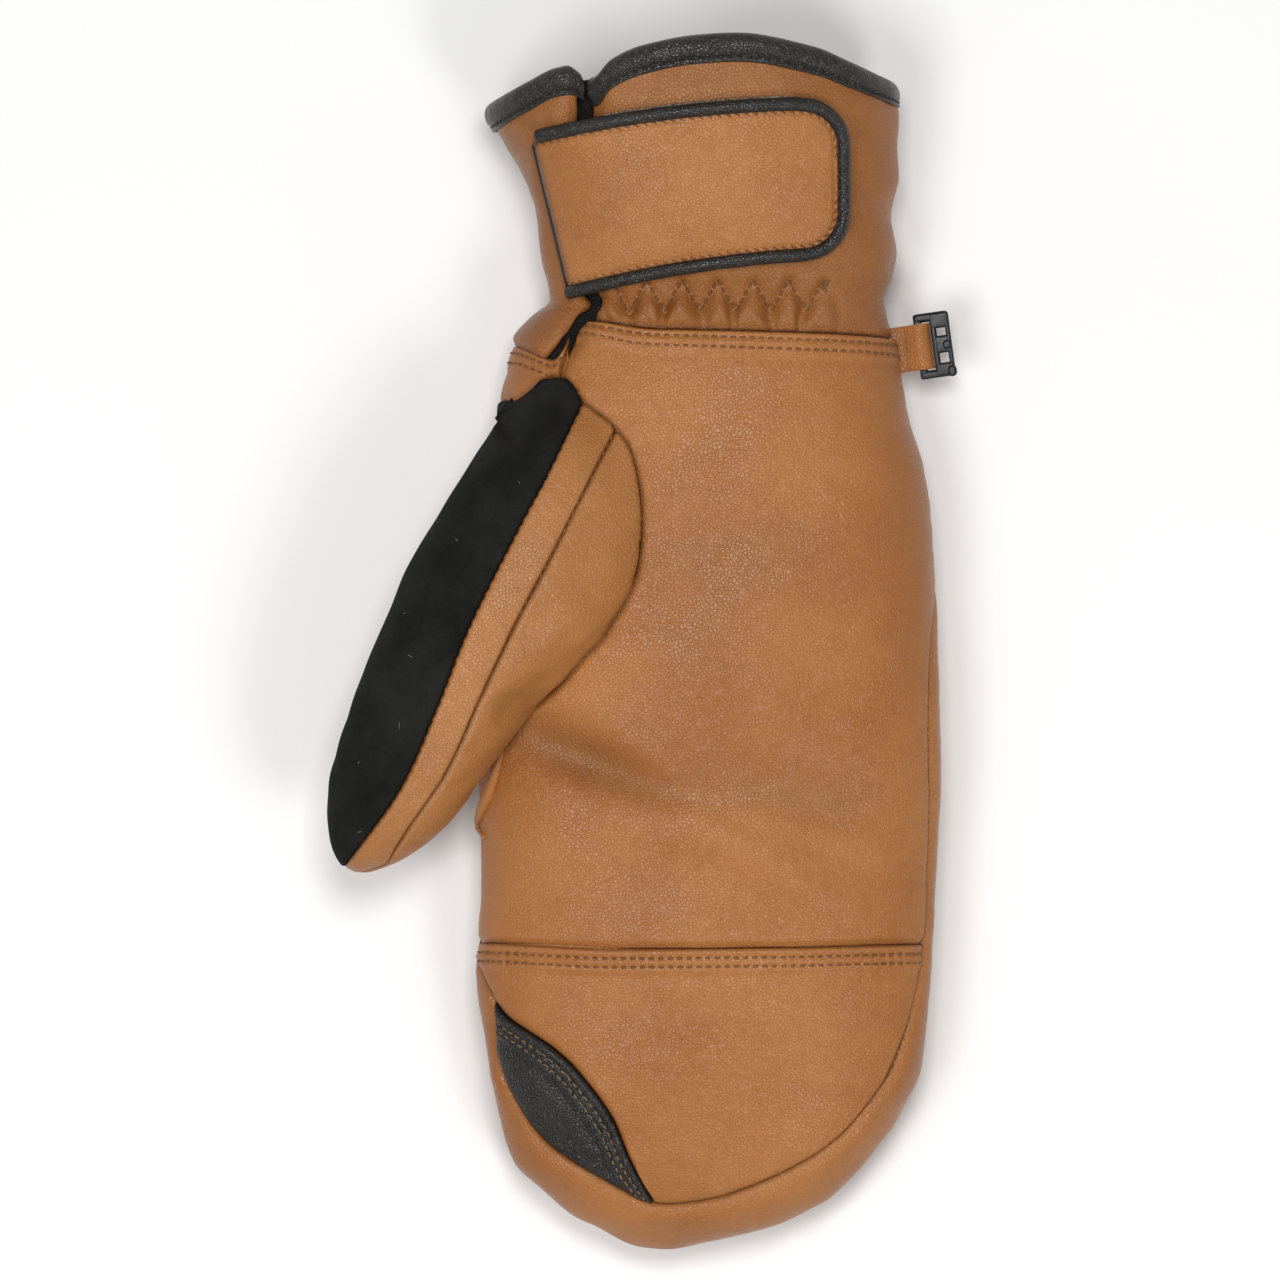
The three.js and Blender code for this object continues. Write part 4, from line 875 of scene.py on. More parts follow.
def back_grid():
    """Lines from the rim seam out over the edge and under the hand to its middle."""
    length = np.linalg.norm(np.diff(rim * (45, 1), axis=0), axis=1).sum()
    edge = scaled_evenly(beside_vent(rim, -1), stations(length, 0.45, 1.35, reach=9) / length)
    start = hand_skin(edge[:, 0], edge[:, 1])
    outline = outline_of_hand()
    nearest = np.argmin(np.hypot(*(start[:, None, :2] - outline[None]).transpose(2, 0, 1)), axis=1)
    nearest = np.maximum.accumulate(nearest).astype(float)
    smooth = np.convolve(np.pad(nearest, 12, mode="edge"), np.ones(25) / 25, mode="valid")
    out = np.stack([np.interp(smooth, np.arange(len(outline)), outline[:, k]) for k in (0, 1)], 1)
    spine = np.stack([section(out[:, 1])[0], np.maximum(out[:, 1], SPINE_END)], 1)
    lines = []
    for from_rim, on_edge, middle, angle in zip(start, out, spine, edge[:, 0]):
        over = np.sin(angle) > 0
        bend = np.linspace(0, np.pi / 2, 110)[:, None]
        under = on_edge + (middle - on_edge) * (1 - np.cos(bend))
        below = np.concatenate([under, under_height(under[:, 0], under[:, 1])[:, None]], 1)
        if over:
            back = bend[::-2][:-1]
            top = on_edge + (from_rim[:2] - on_edge) * (1 - np.cos(back))
            above = np.concatenate([top, palm_height(top[:, 0], top[:, 1])[:, None]], 1)
            above[0] = from_rim
            lines.append(np.concatenate([above, below]))
        else:
            kept = below[below[:, 2] < from_rim[2]]
            lines.append(np.concatenate([from_rim[None], kept]))
    shares = stations(75, 0.5, 1.6, reach=6) / 75
    grid = np.stack([evenly(line, shares) for line in lines], 1)
    grid[..., 1] = slanted(grid)
    return grid


THUMB_COLUMNS = ("along", "outer", "palm", "half_depth", "height")
THUMB = [
    (0.0, 0.46, 0.22, 0.5, 0.69),
    (0.08, 0.465, 0.28, 0.5, 0.73),
    (0.15, 0.47, 0.37, 0.5, 0.76),
    (0.2, 0.475, 0.46, 0.5, 0.78),
    (0.24, 0.48, 0.53, 0.5, 0.8),
    (0.32, 0.49, 0.62, 0.5, 0.84),
    (0.39, 0.495, 0.64, 0.5, 0.87),
    (0.46, 0.5, 0.55, 0.5, 0.89),
    (0.54, 0.472, 0.455, 0.49, 0.9),
    (0.68, 0.425, 0.385, 0.46, 0.9),
    (0.81, 0.355, 0.345, 0.42, 0.87),
    (0.9, 0.295, 0.29, 0.37, 0.83),
    (0.96, 0.25, 0.24, 0.34, 0.81),
    (1.0, 0.22, 0.2, 0.32, 0.8),
]
THUMB_LENGTH = 137
THUMB_WIDTH = 49
THUMB_DEPTH = 38
THUMB_START = np.array([-22.4, 61.8])
THUMB_SPLAY = math.radians(29.7)
THUMB_BASE_ROUND = 17
THUMB_TIP_ROUND = 24
THUMB_UNDER_SEAM = -125
# Two seams along the top of the thumb, from its base to its tip
SIDE_SEAM = [
    (-19.5, 60), (-23.2, 52.5), (-36.7, 25.7), (-48.2, 3.7), (-57, -15.2), (-65.5, -33.7),
    (-75.2, -48), (-80.5, -56.5),
]
PATCH_EDGE = [
    (-25, 72), (-32.3, 58.2), (-39.3, 44), (-49.5, 24.5), (-61, 1), (-67.3, -15.3), (-78.2, -39.2),
    (-88, -52.5), (-90.7, -56), (-92.5, -58.5),
]
thumb_run = np.array([-math.sin(THUMB_SPLAY), -math.cos(THUMB_SPLAY)])
thumb_side = np.array([math.cos(THUMB_SPLAY), -math.sin(THUMB_SPLAY)])
thumb_readers = {name: column(THUMB, name, THUMB_COLUMNS) for name in THUMB_COLUMNS[1:]}


def end_round(distance, length):
    left = 1 - np.clip(distance / length, 0, 1)
    return (1 - left**2.3) ** (1 / 2.3)


def thumb_sizes(distance):
    """Outer and palm half widths, half depth and height of the thumb at a distance from its base."""
    read = {name: reader(distance / THUMB_LENGTH) for name, reader in thumb_readers.items()}
    ends = end_round(distance, THUMB_BASE_ROUND) * end_round(THUMB_LENGTH - distance, THUMB_TIP_ROUND)
    outer = read["outer"] * THUMB_WIDTH * ends
    palm_side = read["palm"] * THUMB_WIDTH * ends
    return outer, palm_side, read["half_depth"] * THUMB_DEPTH * ends, read["height"] * DEPTH


def inside_thumb(points, margin):
    """True for points deeper in the thumb than a margin."""
    flat = points[..., :2] - THUMB_START
    distance = flat @ thumb_run
    lateral = flat @ thumb_side
    outer, palm_side, half_depth, height = thumb_sizes(np.clip(distance, 0, THUMB_LENGTH))
    half = np.maximum(np.where(lateral > 0, palm_side, outer) - margin, 0.1)
    deep = np.maximum(half_depth - margin, 0.1)
    inside = (lateral / half) ** 2 + ((points[..., 2] - height) / deep) ** 2 < 1
    return inside & (distance > 0) & (distance < THUMB_LENGTH)


back_base = back_grid()
back_from_rim, _, back_along, _ = edge_lengths(back_base)
back_x, back_y = back_base[..., 0], back_base[..., 1]
at_wrist = back_base * (1, 0, 1) + (0, WRIST, 0)
wrist_distance = slanted(at_wrist) - back_y
back_to_seat = seat_distance(back_x, back_y)
_, _, _, back_side, _ = section(back_y)
on_top = smoothstep(back_base[..., 2], back_side - 3, back_side + 2)
on_top = on_top * (back_x < 0) * smoothstep(back_y, 30, 48)
back_relief = -turned_edge(back_from_rim, 3.6, 1.9)
back_relief += topstitched(np.maximum(wrist_distance, 0), back_x + back_base[..., 2], WRIST_ROWS)
back_relief += puckers(back_from_rim, back_along[:1] + 0 * back_x, 31, 0.14, 8)
back_relief += 0.3 * bell(back_from_rim - 5, 3.5)
back_relief += 0.16 * ripple(back_x + back_base[..., 2], back_y, 13, 32)
back_relief -= 2.5 * turned_edge(back_from_rim, 2.2, 1) * smoothstep(back_y, 62, 70) * (back_x < 0)
back_relief -= on_top * turned_edge(-back_to_seat, 1.5, 0.9) * (back_to_seat < 0)
back_relief -= on_top * (back_to_seat > 0) * (0.9 + np.minimum(1.4 * back_to_seat, 2.8))
# Painted shade at the back panel's rim and wrist seams and round the thumb's seat.
back_painted_shade = 0.55 * bell(back_from_rim, 0.45) + 0.6 * bell(wrist_distance, 0.4)
back_painted_shade += 0.6 * on_top * bell(back_to_seat, 0.55)
under_thumb = inside_thumb(back_base, 4) & (back_to_seat > 3.5) & (on_top > 0.5)
back_keep = ~(inside_thumb(back_base, 7) | under_thumb)
back, back_outer, back_normal = panel(
    "back_panel_leather", back_base, hand_normals(back_base), back_relief, TAN,
    ["back_panel"], "tan_leather", back_painted_shade, back_keep,
)

# Thumb: two pieces of tan leather and, on the outer side where it wears, one of black suede.
# The pieces meet in plain turned seams that run from the palm to the thumb's tip.
SUEDE = leather_material(
    "black_suede",
    deep=(0.009, 0.0092, 0.0084),
    pale=(0.022, 0.0223, 0.0205),
    painted_shade_colour=(0.002, 0.002, 0.002),
    gloss=(0.9, 1.0),
    grain=0.00012,
    pebbles=3200,
    patch=60,
    specular=0.15,
)


def inside_hand(points, margin):
    middle, half, top, side, base = section(points[..., 1])
    x, z = points[..., 0], points[..., 2]
    share = np.clip(np.abs(x - middle) / np.maximum(half - margin, 1), 0, 1)
    over = side + (top - side - margin) * (1 - share**TOP_FULLNESS) ** (1 / TOP_FULLNESS)
    under = side - (side - base - margin) * (1 - share**UNDER_FULLNESS) ** (1 / UNDER_FULLNESS)
    return (share < 1) & (z < over) & (z > under)


def thumb_skin(distance, degrees):
    """Points of the thumb, which settle on to the palm near the seam that sets it in."""
    angle = np.radians(degrees)
    outer, palm_side, half_depth, height = thumb_sizes(distance)
    half = np.where(np.cos(angle) > 0, palm_side, outer)
    flat = THUMB_START + distance[..., None] * thumb_run
    flat = flat + (half * np.cos(angle))[..., None] * thumb_side
    z = height + half_depth * np.sin(angle)
    x, y = flat[..., 0], flat[..., 1]
    middle, hand_half, *_ = section(y)
    at_base = smoothstep(y, 46, 56)
    within = smoothstep((hand_half - np.abs(x - middle) + at_base) / (7 - 5 * at_base), 0, 1)
    within = within * smoothstep(y, -24, -11)
    to_seat = seat_distance(x, y)
    on_palm = palm_height(x, y)
    share = np.clip(to_seat / (9 + 17 * smoothstep(y, -4, 34)), 0, 1)
    above = z - on_palm
    swell = 10 - 5 * smoothstep(y, 38, 52)
    raised = 0.5 * (above + swell + np.sqrt((above - swell) ** 2 + 16))
    raised = raised + (above - raised) * smoothstep(share, 0.3, 1)
    settled = on_palm + raised * share * (2 - share) - np.maximum(-to_seat, 0) * 1.4
    upper = z + (np.where(to_seat > 0, settled, np.minimum(settled, z)) - z) * within
    lower = np.minimum(z, upper - 2.5 * within)
    over = smoothstep(np.sin(angle), -0.25, 0.15)
    return np.stack([x, y, lower + (upper - lower) * over], -1), to_seat, within * over


def thumb_grid(from_edge, to_edge, width):
    """A grid between two seams of the thumb, each given as degrees at a distance along it."""
    distance = np.concatenate([
        THUMB_BASE_ROUND * (1 - np.cos(np.linspace(0.12, np.pi / 2, 26))),
        np.linspace(THUMB_BASE_ROUND, THUMB_LENGTH - THUMB_TIP_ROUND, 135)[1:],
        THUMB_LENGTH - THUMB_TIP_ROUND * (1 - np.cos(np.linspace(np.pi / 2, 0.03, 40)))[1:],
    ])
    shares = stations(width, 0.5, 0.9, reach=min(6, width / 2.2)) / width
    start, end = from_edge(distance), to_edge(distance)
    fine = np.linspace(0, 1, 80)[None]
    degrees = start[:, None] + (end - start)[:, None] * fine
    line, _, _ = thumb_skin(distance[:, None] + 0 * degrees, degrees)
    at = np.cumsum(np.linalg.norm(np.diff(line, axis=1), axis=2), 1)
    at = np.concatenate([np.zeros((len(distance), 1)), at], 1)
    chosen = [np.interp(shares * lengths[-1], lengths, angles) for lengths, angles in zip(at, degrees)]
    chosen = np.array(chosen)
    return thumb_skin(distance[:, None] + 0 * chosen, chosen)


def thumb_piece(name, node, edges, width, facing, material, slot, seed):
    base, to_seat, within = thumb_grid(*edges, width)
    along, _, from_start, from_end = edge_lengths(base)
    relief = -turned_edge(from_start, 1.6, 1.2) - turned_edge(from_end, 1.6, 1.2)
    relief += puckers(np.minimum(from_start, from_end), along, seed, 0.13, 4)
    relief += 0.12 * ripple(base[..., 0], base[..., 1] + base[..., 2], 11, seed + 2)
    relief -= within * (to_seat >= 0) * turned_edge(to_seat, 1.4, 0.65)
    relief -= within * (to_seat < 0) * 0.65
    # Painted shade at the thumb's seams and where it is set into the palm.
    crease = 0.75 * bell(from_start, 0.5) + 0.75 * bell(from_end, 0.5)
    crease += 0.5 * within * bell(to_seat, 0.5)
    hidden = inside_hand(base, 5) | ((to_seat < -3) & (within > 0.5))
    normal = grid_normals(base, facing)
    return panel(name, base, normal, relief, material, [node], slot, crease, ~hidden)


def thumb_seam(route):
    """Degrees round the thumb, at a distance along it, of a seam given in plan."""
    flat = curve_through(route, 1.0) - THUMB_START
    along, aside = flat @ thumb_run, flat @ thumb_side

    def degrees(distance):
        outer, palm_side, _, _ = thumb_sizes(distance)
        lateral = np.interp(distance, along, aside)
        half = np.where(lateral > 0, palm_side, outer)
        return np.degrees(np.arccos(np.clip(lateral / np.maximum(half, 0.1), -0.93, 0.93)))

    return degrees


side_seam = thumb_seam(SIDE_SEAM)
plain_patch_edge = thumb_seam(PATCH_EDGE)


def patch_edge(distance):
    """The suede's edge, which bulges a little between its stitches."""
    return plain_patch_edge(distance) - 0.8 * np.abs(np.sin(np.pi * distance / 2.6))


def under_seam(turns):
    return lambda distance: np.full(distance.shape, THUMB_UNDER_SEAM + 360.0 * turns)


thumb_panel, *_ = thumb_piece(
    "thumb_palm_leather", "thumb_palm_panel", (side_seam, under_seam(0)), 62,
    (*thumb_side, 0.1), PALE_TAN_PAINTED_SHEEN, "tan_leather", 41,
)
thumb_strip, *_ = thumb_piece(
    "thumb_strip_leather", "thumb_side_strip", (patch_edge, side_seam), 14,
    (0, 0, 1), PALE_TAN_PAINTED_SHEEN, "tan_leather", 51,
)
thumb_suede, thumb_suede_outer, _ = thumb_piece(
    "thumb_suede", "thumb_patch", (under_seam(1), patch_edge), 48,
    (*-thumb_side, 0.3), SUEDE, "black_suede", 61,
)
# The suede's corner, which lies on the hand's side below the wrist
corner_across = np.linspace(0, 1, 60)[None]
corner_down = np.concatenate([np.linspace(0, 0.15, 12)[:-1], np.linspace(0.15, 1, 34)])[:, None]
CORNER_EDGE = ([40, 41, 44.5, 47.2, 49.5, 52, 54], [65.8, 65.3, 62.6, 60.6, 59.7, 60.0, 60.1])
corner_x = -40 - 14 * corner_across
corner_top = np.interp(-corner_x, *CORNER_EDGE)
corner_y = corner_top - 17 * corner_down
corner_last = np.pi + 0.04 - 0.64 * corner_down**1.5
corner_angle = angle_over(-40, corner_y) + (corner_last - angle_over(-40, corner_y)) * corner_across
corner_flat = hand_skin(corner_angle, corner_y)
corner_y = np.interp(-corner_flat[..., 0], *CORNER_EDGE) - 17 * corner_down
corner_base = hand_skin(corner_angle, corner_y)
corner_from_top, _, _, corner_low = edge_lengths(corner_base)
corner_lift = 0.3 - turned_edge(corner_from_top, 1.6, 1.3) - turned_edge(corner_low, 1.6, 1.3)
corner_points, corner_faces, _ = wall(
    corner_base + hand_normals(corner_base) * corner_lift[..., None],
    corner_base - hand_normals(corner_base) * 1.8,
)
finished("thumb_suede_corner", corner_points, corner_faces, SUEDE, [], "black_suede")

# Cuff: two tan pieces, one over the palm side and one round the thumb side and underneath.
# They part along the vent, are gathered by a zigzag at the wrist, and go under the hand's edge there.
CUFF_EDGE = 138.6
CUFF_ARCH = 12
PALM_EDGE = [
    (-0.49, -0.5), (-0.39, -0.02), (-0.33, 0.25), (-0.3, 0.29), (-0.272, 0.13), (-0.25, 0.05),
    (-0.209, 0.42), (-0.144, 0.7), (-0.017, 0.93), (0.067, 0.97), (0.235, 0.69), (0.302, 0.43),
    (0.362, 0.17), (0.4, 0.0),
]
BACK_EDGE = [(-0.49, -0.5), (-0.3, 0.05), (0.0, 0.45), (0.25, 0.35), (0.4, 0.0)]
ZIGZAG_PITCH = 8.9
ZIGZAG_START = -24.6
ZIGZAG_END = 28.8
ZIGZAG_LOW = 82.1
ZIGZAG_HIGH = 89.6
palm_edge_rise = column(PALM_EDGE, "value")
back_edge_rise = column(BACK_EDGE, "value")


def cuff_skin(angle, station):
    """Points of the cuff, whose lower edge follows the wrist seam and whose upper edge is arched."""
    flat = hand_skin(angle, station)
    palm_side = smoothstep(np.sin(angle), -0.7, 0)
    across = flat[..., 0] / WIDTH
    edge = back_edge_rise(across) + (palm_edge_rise(across) - back_edge_rise(across)) * palm_side
    return hand_skin(angle, slanted(flat) + edge * CUFF_ARCH * smoothstep(station, WRIST + 15, CUFF_EDGE))


def cuff_grid(start_of, end_of, shares):
    station = WRIST + 0.15 + stations(CUFF_EDGE - WRIST, 0.5, 0.8)
    angles = [angles_at(shares, start_of(row), end_of(row), row, 300) for row in station]
    return cuff_skin(np.array(angles), station[:, None])


def zigzag_line():
    """The zigzag's corners on the palm side, from the thumb side to its end."""
    count = int((ZIGZAG_END - ZIGZAG_START) / ZIGZAG_PITCH * 2) + 1
    x = ZIGZAG_START + ZIGZAG_PITCH / 2 * np.arange(count)
    return np.stack([x, np.where(np.arange(count) % 2, ZIGZAG_LOW, ZIGZAG_HIGH) + 0 * x], 1)


def cuff_relief(grid, from_wrist, from_vent, seed):
    """Gathers at the wrist, folds across the cuff and the turned edges."""
    x, y = grid[..., 0], grid[..., 1]
    over = smoothstep(grid[..., 2], section(y)[3], section(y)[3] + 8)
    in_zigzag = smoothstep(x, ZIGZAG_START - 8, ZIGZAG_START)
    in_zigzag = in_zigzag * (1 - smoothstep(x, ZIGZAG_END, ZIGZAG_END + 6))
    turn = 2 * np.pi * (x + 0.9 * ripple(x, y, 11, seed + 4) - ZIGZAG_START) / ZIGZAG_PITCH
    gathers = -np.cos(turn) * bell(from_wrist - 4.5, 3.6)
    teeth = np.cos(2 * turn + 0.6) * bell(from_wrist - 2, 2.6)
    relief = in_zigzag * over * (-1.35 * gathers - 0.6 * teeth)
    relief -= in_zigzag * over * 1.1 * bell(distance_to_line(x, y, zigzag_line()), 0.9)
    relief -= 1.2 * (1 - smoothstep(from_wrist, 0, 2.4))
    relief -= turned_edge(from_vent, 1.8, 1.3)
    relief += 0.28 * ripple(x * 0.5 + grid[..., 2], y, 15, seed) + 0.1 * ripple(x, y, 6, seed + 1)
    return relief


# A darker copy of the tan for the cuff pieces.
CUFF_TAN = tan_leather(
    "darker_tan_leather", (0.245, 0.083, 0.0165), (0.31, 0.115, 0.027), 0.4,
    painted_shade_colour=(0.08, 0.025, 0.006), gloss=(0.38, 0.5),
)
cuff_shares = stations(92, 0.6, 0.8, reach=5) / 92
cuff_palm_base = cuff_grid(
    lambda y: angle_over(vent_x(y) + VENT_HALF_OPENING, y),
    lambda y: low_side_angle(y, False),
    cuff_shares,
)
from_wrist_seam, _, from_vent, _ = edge_lengths(cuff_palm_base)
# Painted shade at the cuff's wrist seam and along the vent, in the crease values below.
panel(
    "cuff_palm_leather", cuff_palm_base, hand_normals(cuff_palm_base),
    cuff_relief(cuff_palm_base, from_wrist_seam, from_vent, 71), CUFF_TAN,
    ["cuff_palm_panel"], "tan_leather", 0.9 * bell(from_wrist_seam, 0.6) + 0.5 * bell(from_vent, 0.4),
)
back_reach = 150
cuff_back_base = cuff_grid(
    lambda y: angle_over(vent_x(y) - VENT_HALF_OPENING, y),
    lambda y: 2 * np.pi + low_side_angle(y, False) - 0.012,
    stations(back_reach, 0.6, 1.5, reach=26) / back_reach,
)
from_wrist_seam, _, from_vent, _ = edge_lengths(cuff_back_base)
# Painted shade at the cuff's wrist seam and along the vent, in the crease values below.
panel(
    "cuff_back_leather", cuff_back_base, hand_normals(cuff_back_base),
    cuff_relief(cuff_back_base, from_wrist_seam, from_vent, 75), CUFF_TAN,
    ["cuff_back_panel"], "tan_leather", 0.9 * bell(from_wrist_seam, 0.6) + 0.5 * bell(from_vent, 0.4),
)

# Vent gusset: a strip of black leather behind the vent, folded inward a little. Its black is darker
# and duller than the other black leather: painted shade for the shadow down in the vent.
gusset_y = np.linspace(65, CUFF_EDGE + 1, 110)[:, None]
gusset_x = vent_x(gusset_y) + np.linspace(-4.2, 4.2, 13)[None]
gusset_middle = hand_skin(angle_over(vent_x(gusset_y), gusset_y), gusset_y)[..., 2]
gusset_outer = np.stack(np.broadcast_arrays(gusset_x, gusset_y, gusset_middle - LEATHER - 0.3), -1)
gusset_points, gusset_faces, _ = wall(gusset_outer, gusset_outer - (0, 0, 1.1))
# Painted shade: darker and duller than the other black leather.
GUSSET_BLACK_AND_SHADE = black_leather(
    "gusset_black_leather_painted_shade", (0.006, 0.0052, 0.004), (0.0105, 0.0092, 0.0074), (0.55, 0.7), specular=0.18
)
finished("gusset_leather", gusset_points, gusset_faces, GUSSET_BLACK_AND_SHADE, ["vent_gusset"], "black_leather")

# Edge binding: a band of black leather folded over the cuff's edge and sewn through, with one row
# of black stitches near its lower edge.
BINDING_STITCHES = 5.1
BINDING_PROFILE = [
    (-6.3, 0.15), (-6.25, 0.7), (-5.9, 1.05), (-5.1, 1.05), (-4.4, 1.45), (-3.2, 1.9), (-1.8, 1.95),
    (-0.4, 1.55), (0.6, 0.6), (1.0, -0.8), (0.8, -2.1), (0.1, -3.1), (-1.4, -3.6), (-3.5, -3.7),
    (-5.2, -3.5), (-5.2, -2.75), (-3.2, -2.8), (-1.2, -2.75), (-0.35, -2.3), (-0.2, -1.2),
    (-0.35, 0.0), (-1.4, 0.2), (-3.6, 0.15),
]


def cuff_edge_frame(reach):
    """Points of the cuff's edge from one side of the vent round to the other, with their directions."""
    start = angle_over(vent_x(CUFF_EDGE) + VENT_HALF_OPENING, CUFF_EDGE)
    end = angle_over(vent_x(CUFF_EDGE) - VENT_HALF_OPENING, CUFF_EDGE) - 2 * np.pi
    fine = np.linspace(start, end, 1500)
    line = cuff_skin(fine, np.full(fine.shape, CUFF_EDGE))
    at = travelled(line)
    angle = np.interp(reach * at[-1], at, fine)
    edge = cuff_skin(angle, np.full(angle.shape, CUFF_EDGE))
    below = cuff_skin(angle, np.full(angle.shape, CUFF_EDGE - 5.0))
    up = (edge - below) / np.linalg.norm(edge - below, axis=1, keepdims=True)
    out = hand_normals(edge)
    out -= (out * up).sum(1, keepdims=True) * up
    return edge, up, out / np.linalg.norm(out, axis=1, keepdims=True)


binding_shares = stations(250, 0.5, 0.95, reach=4) / 250
edge_line, edge_up, edge_out = cuff_edge_frame(binding_shares)
profile = curve_through(BINDING_PROFILE + BINDING_PROFILE[:1], 0.5)[:-1]
along_edge = travelled(edge_line)
swell = 1 + 0.1 * ripple(along_edge, 0 * along_edge, 16, 81)
swell += 0.05 * ripple(along_edge, 0 * along_edge, 5, 82)
rings = []
for point, up, out, full, at in zip(edge_line, edge_up, edge_out, swell, along_edge):
    height = np.where(profile[:, 1] > 0.4, profile[:, 1] * full, profile[:, 1])
    tight = 0.75 + 0.25 * np.cos(2 * np.pi * at / STITCH_PITCH)
    height = height - 0.45 * bell(profile[:, 0] + BINDING_STITCHES, 0.45) * tight * (profile[:, 1] > 0.6)
    rings.append(point + profile[:, :1] * up + height[:, None] * out)
rings = np.array(rings)


def closed_sweep(rings):
    """Points and faces of a closed solid through rings, with a fan over each end."""
    count, sides = rings.shape[:2]
    index = np.arange(count * sides).reshape(count, sides)
    after = np.roll(index, -1, axis=1)
    quads = np.stack([index[:-1], index[1:], after[1:], after[:-1]], -1).reshape(-1, 4)
    points = np.concatenate([rings.reshape(-1, 3), rings[0].mean(0)[None], rings[-1].mean(0)[None]])
    first = np.full(sides, count * sides)
    near = np.stack([index[0], after[0], first], 1)
    far = np.stack([after[-1], index[-1], first + 1], 1)
    corner = points[quads]
    turn = np.cross(corner[:, 2] - corner[:, 0], corner[:, 3] - corner[:, 1])
    if ((corner.mean(1) - points[quads].mean((0, 1))) * turn).sum() < 0:
        quads, near, far = quads[:, ::-1], near[:, ::-1], far[:, ::-1]
    return points, list(quads) + list(near) + list(far)


binding_points, binding_faces = closed_sweep(rings)
finished("binding_leather", binding_points, binding_faces, BLACK, ["cuff_binding"], "black_leather")

# Wrist strap: a flat tan strap laid over the vent. Its thumb side end is sewn down and its round end
# is free. Black piping is sewn in round its edge, and a grey edge of hook tape shows above it.
STRAP_LENGTH = 75
STRAP_WIDTH = 43
STRAP_END_WIDTH = 40.5
STRAP_CORNER = 12
STRAP_END = (35.3, 115)
STRAP_DROP = 9
STRAP_LIFT = 0.7
STRAP_THICKNESS = 2.4
PIPING = 3.5


def strap_spot(run, offset):
    back = STRAP_LENGTH - run
    bend = STRAP_DROP / STRAP_LENGTH**2
    slope = -2 * bend * back
    size = np.hypot(slope, 1)
    return STRAP_END[0] - back + offset * slope / size, STRAP_END[1] - bend * back**2 + offset / size


def strap_half(run, margin):
    radius = STRAP_CORNER - margin
    left = np.clip(STRAP_LENGTH - margin - run, 0, radius)
    corner = radius - np.sqrt(radius**2 - (radius - left) ** 2)
    return (STRAP_WIDTH + (STRAP_END_WIDTH - STRAP_WIDTH) * run / STRAP_LENGTH) / 2 - margin - corner


def strap_point(run, offset, lift):
    x, y = strap_spot(run, offset)
    middle, half, top, side, _ = section(y)
    share = np.clip(np.abs(x - middle) / (half + lift), 0, 1)
    z = side + (top - side + lift) * (1 - share**TOP_FULLNESS) ** (1 / TOP_FULLNESS)
    return np.stack(np.broadcast_arrays(x, y, z), -1)


def strap_inset(run, offset):
    """Distance from the strap's sides and round end, inward."""
    side = (STRAP_WIDTH + (STRAP_END_WIDTH - STRAP_WIDTH) * run / STRAP_LENGTH) / 2 - STRAP_CORNER
    beside = np.abs(offset) - side
    beyond = run - (STRAP_LENGTH - STRAP_CORNER)
    outside = np.hypot(np.maximum(beside, 0), np.maximum(beyond, 0))
    outside = outside + np.minimum(np.maximum(beside, beyond), 0)
    return STRAP_CORNER - outside


strap_margin = PIPING - 0.5
strap_last = STRAP_LENGTH - strap_margin
strap_round = STRAP_CORNER - strap_margin
strap_turn = np.sin(np.linspace(0, np.pi / 2, 26))[1:] * strap_round
strap_straight = np.linspace(0, strap_last - strap_round, 84)
strap_runs = np.concatenate([strap_straight, strap_last - strap_round + strap_turn])
strap_sides = np.sin(np.linspace(-np.pi / 2, np.pi / 2, 75)) * 0.35 + np.linspace(-1, 1, 75) * 0.65
run_grid, side_grid = np.meshgrid(strap_runs, strap_sides, indexing="ij")
offset_grid = side_grid * strap_half(run_grid, strap_margin)
inset_grid = strap_inset(run_grid, offset_grid) - strap_margin
strap_lift = STRAP_LIFT + STRAP_THICKNESS - turned_edge(inset_grid, 1.3, 1.0)
strap_lift -= 0.35 * bell(inset_grid - 1.1, 0.5)
strap_lift += 0.12 * ripple(run_grid, offset_grid, 22, 91) - 1.3 * turned_edge(run_grid, 1.3, 1)
strap_lift += puckers(inset_grid, run_grid + offset_grid, 92, 0.07, 4)
strap_top = strap_point(run_grid, offset_grid, strap_lift)
strap_base = strap_point(run_grid, offset_grid, STRAP_LIFT + 0 * strap_lift)
strap_points, strap_faces, strap_used = wall(strap_top, strap_base)
# Painted shade along the strap's edges and at its sewn end.
strap_shade = 0.7 * bell(inset_grid, 0.5) + bell(run_grid, 0.9)
# The strap's tan is a little paler than the hand's: painted sheen where the light falls on it.
STRAP_TAN_PAINTED_SHEEN = tan_leather("strap_tan_leather_painted_sheen", (0.325, 0.12, 0.0288), (0.395, 0.158, 0.0435), 0.42)
strap_painted_shade = np.concatenate([strap_shade.ravel()] * 2)[strap_used]
finished("strap_leather", strap_points, strap_faces, STRAP_TAN_PAINTED_SHEEN, ["wrist_strap"], "tan_leather", strap_painted_shade)


def tube(path, radius, sides=18):
    """A round closed tube along a path. The radius may change along it."""
    radius = np.broadcast_to(np.asarray(radius, float), len(path))
    run = np.gradient(path, axis=0)
    run /= np.linalg.norm(run, axis=1, keepdims=True)
    level = np.cross(run, (0, 0, 1))
    level /= np.linalg.norm(level, axis=1, keepdims=True)
    upright = np.cross(level, run)
    turn = np.linspace(0, 2 * np.pi, sides, endpoint=False)
    ring = np.cos(turn)[None, :, None] * level[:, None] + np.sin(turn)[None, :, None] * upright[:, None]
    return closed_sweep(path[:, None] + ring * radius[:, None, None])


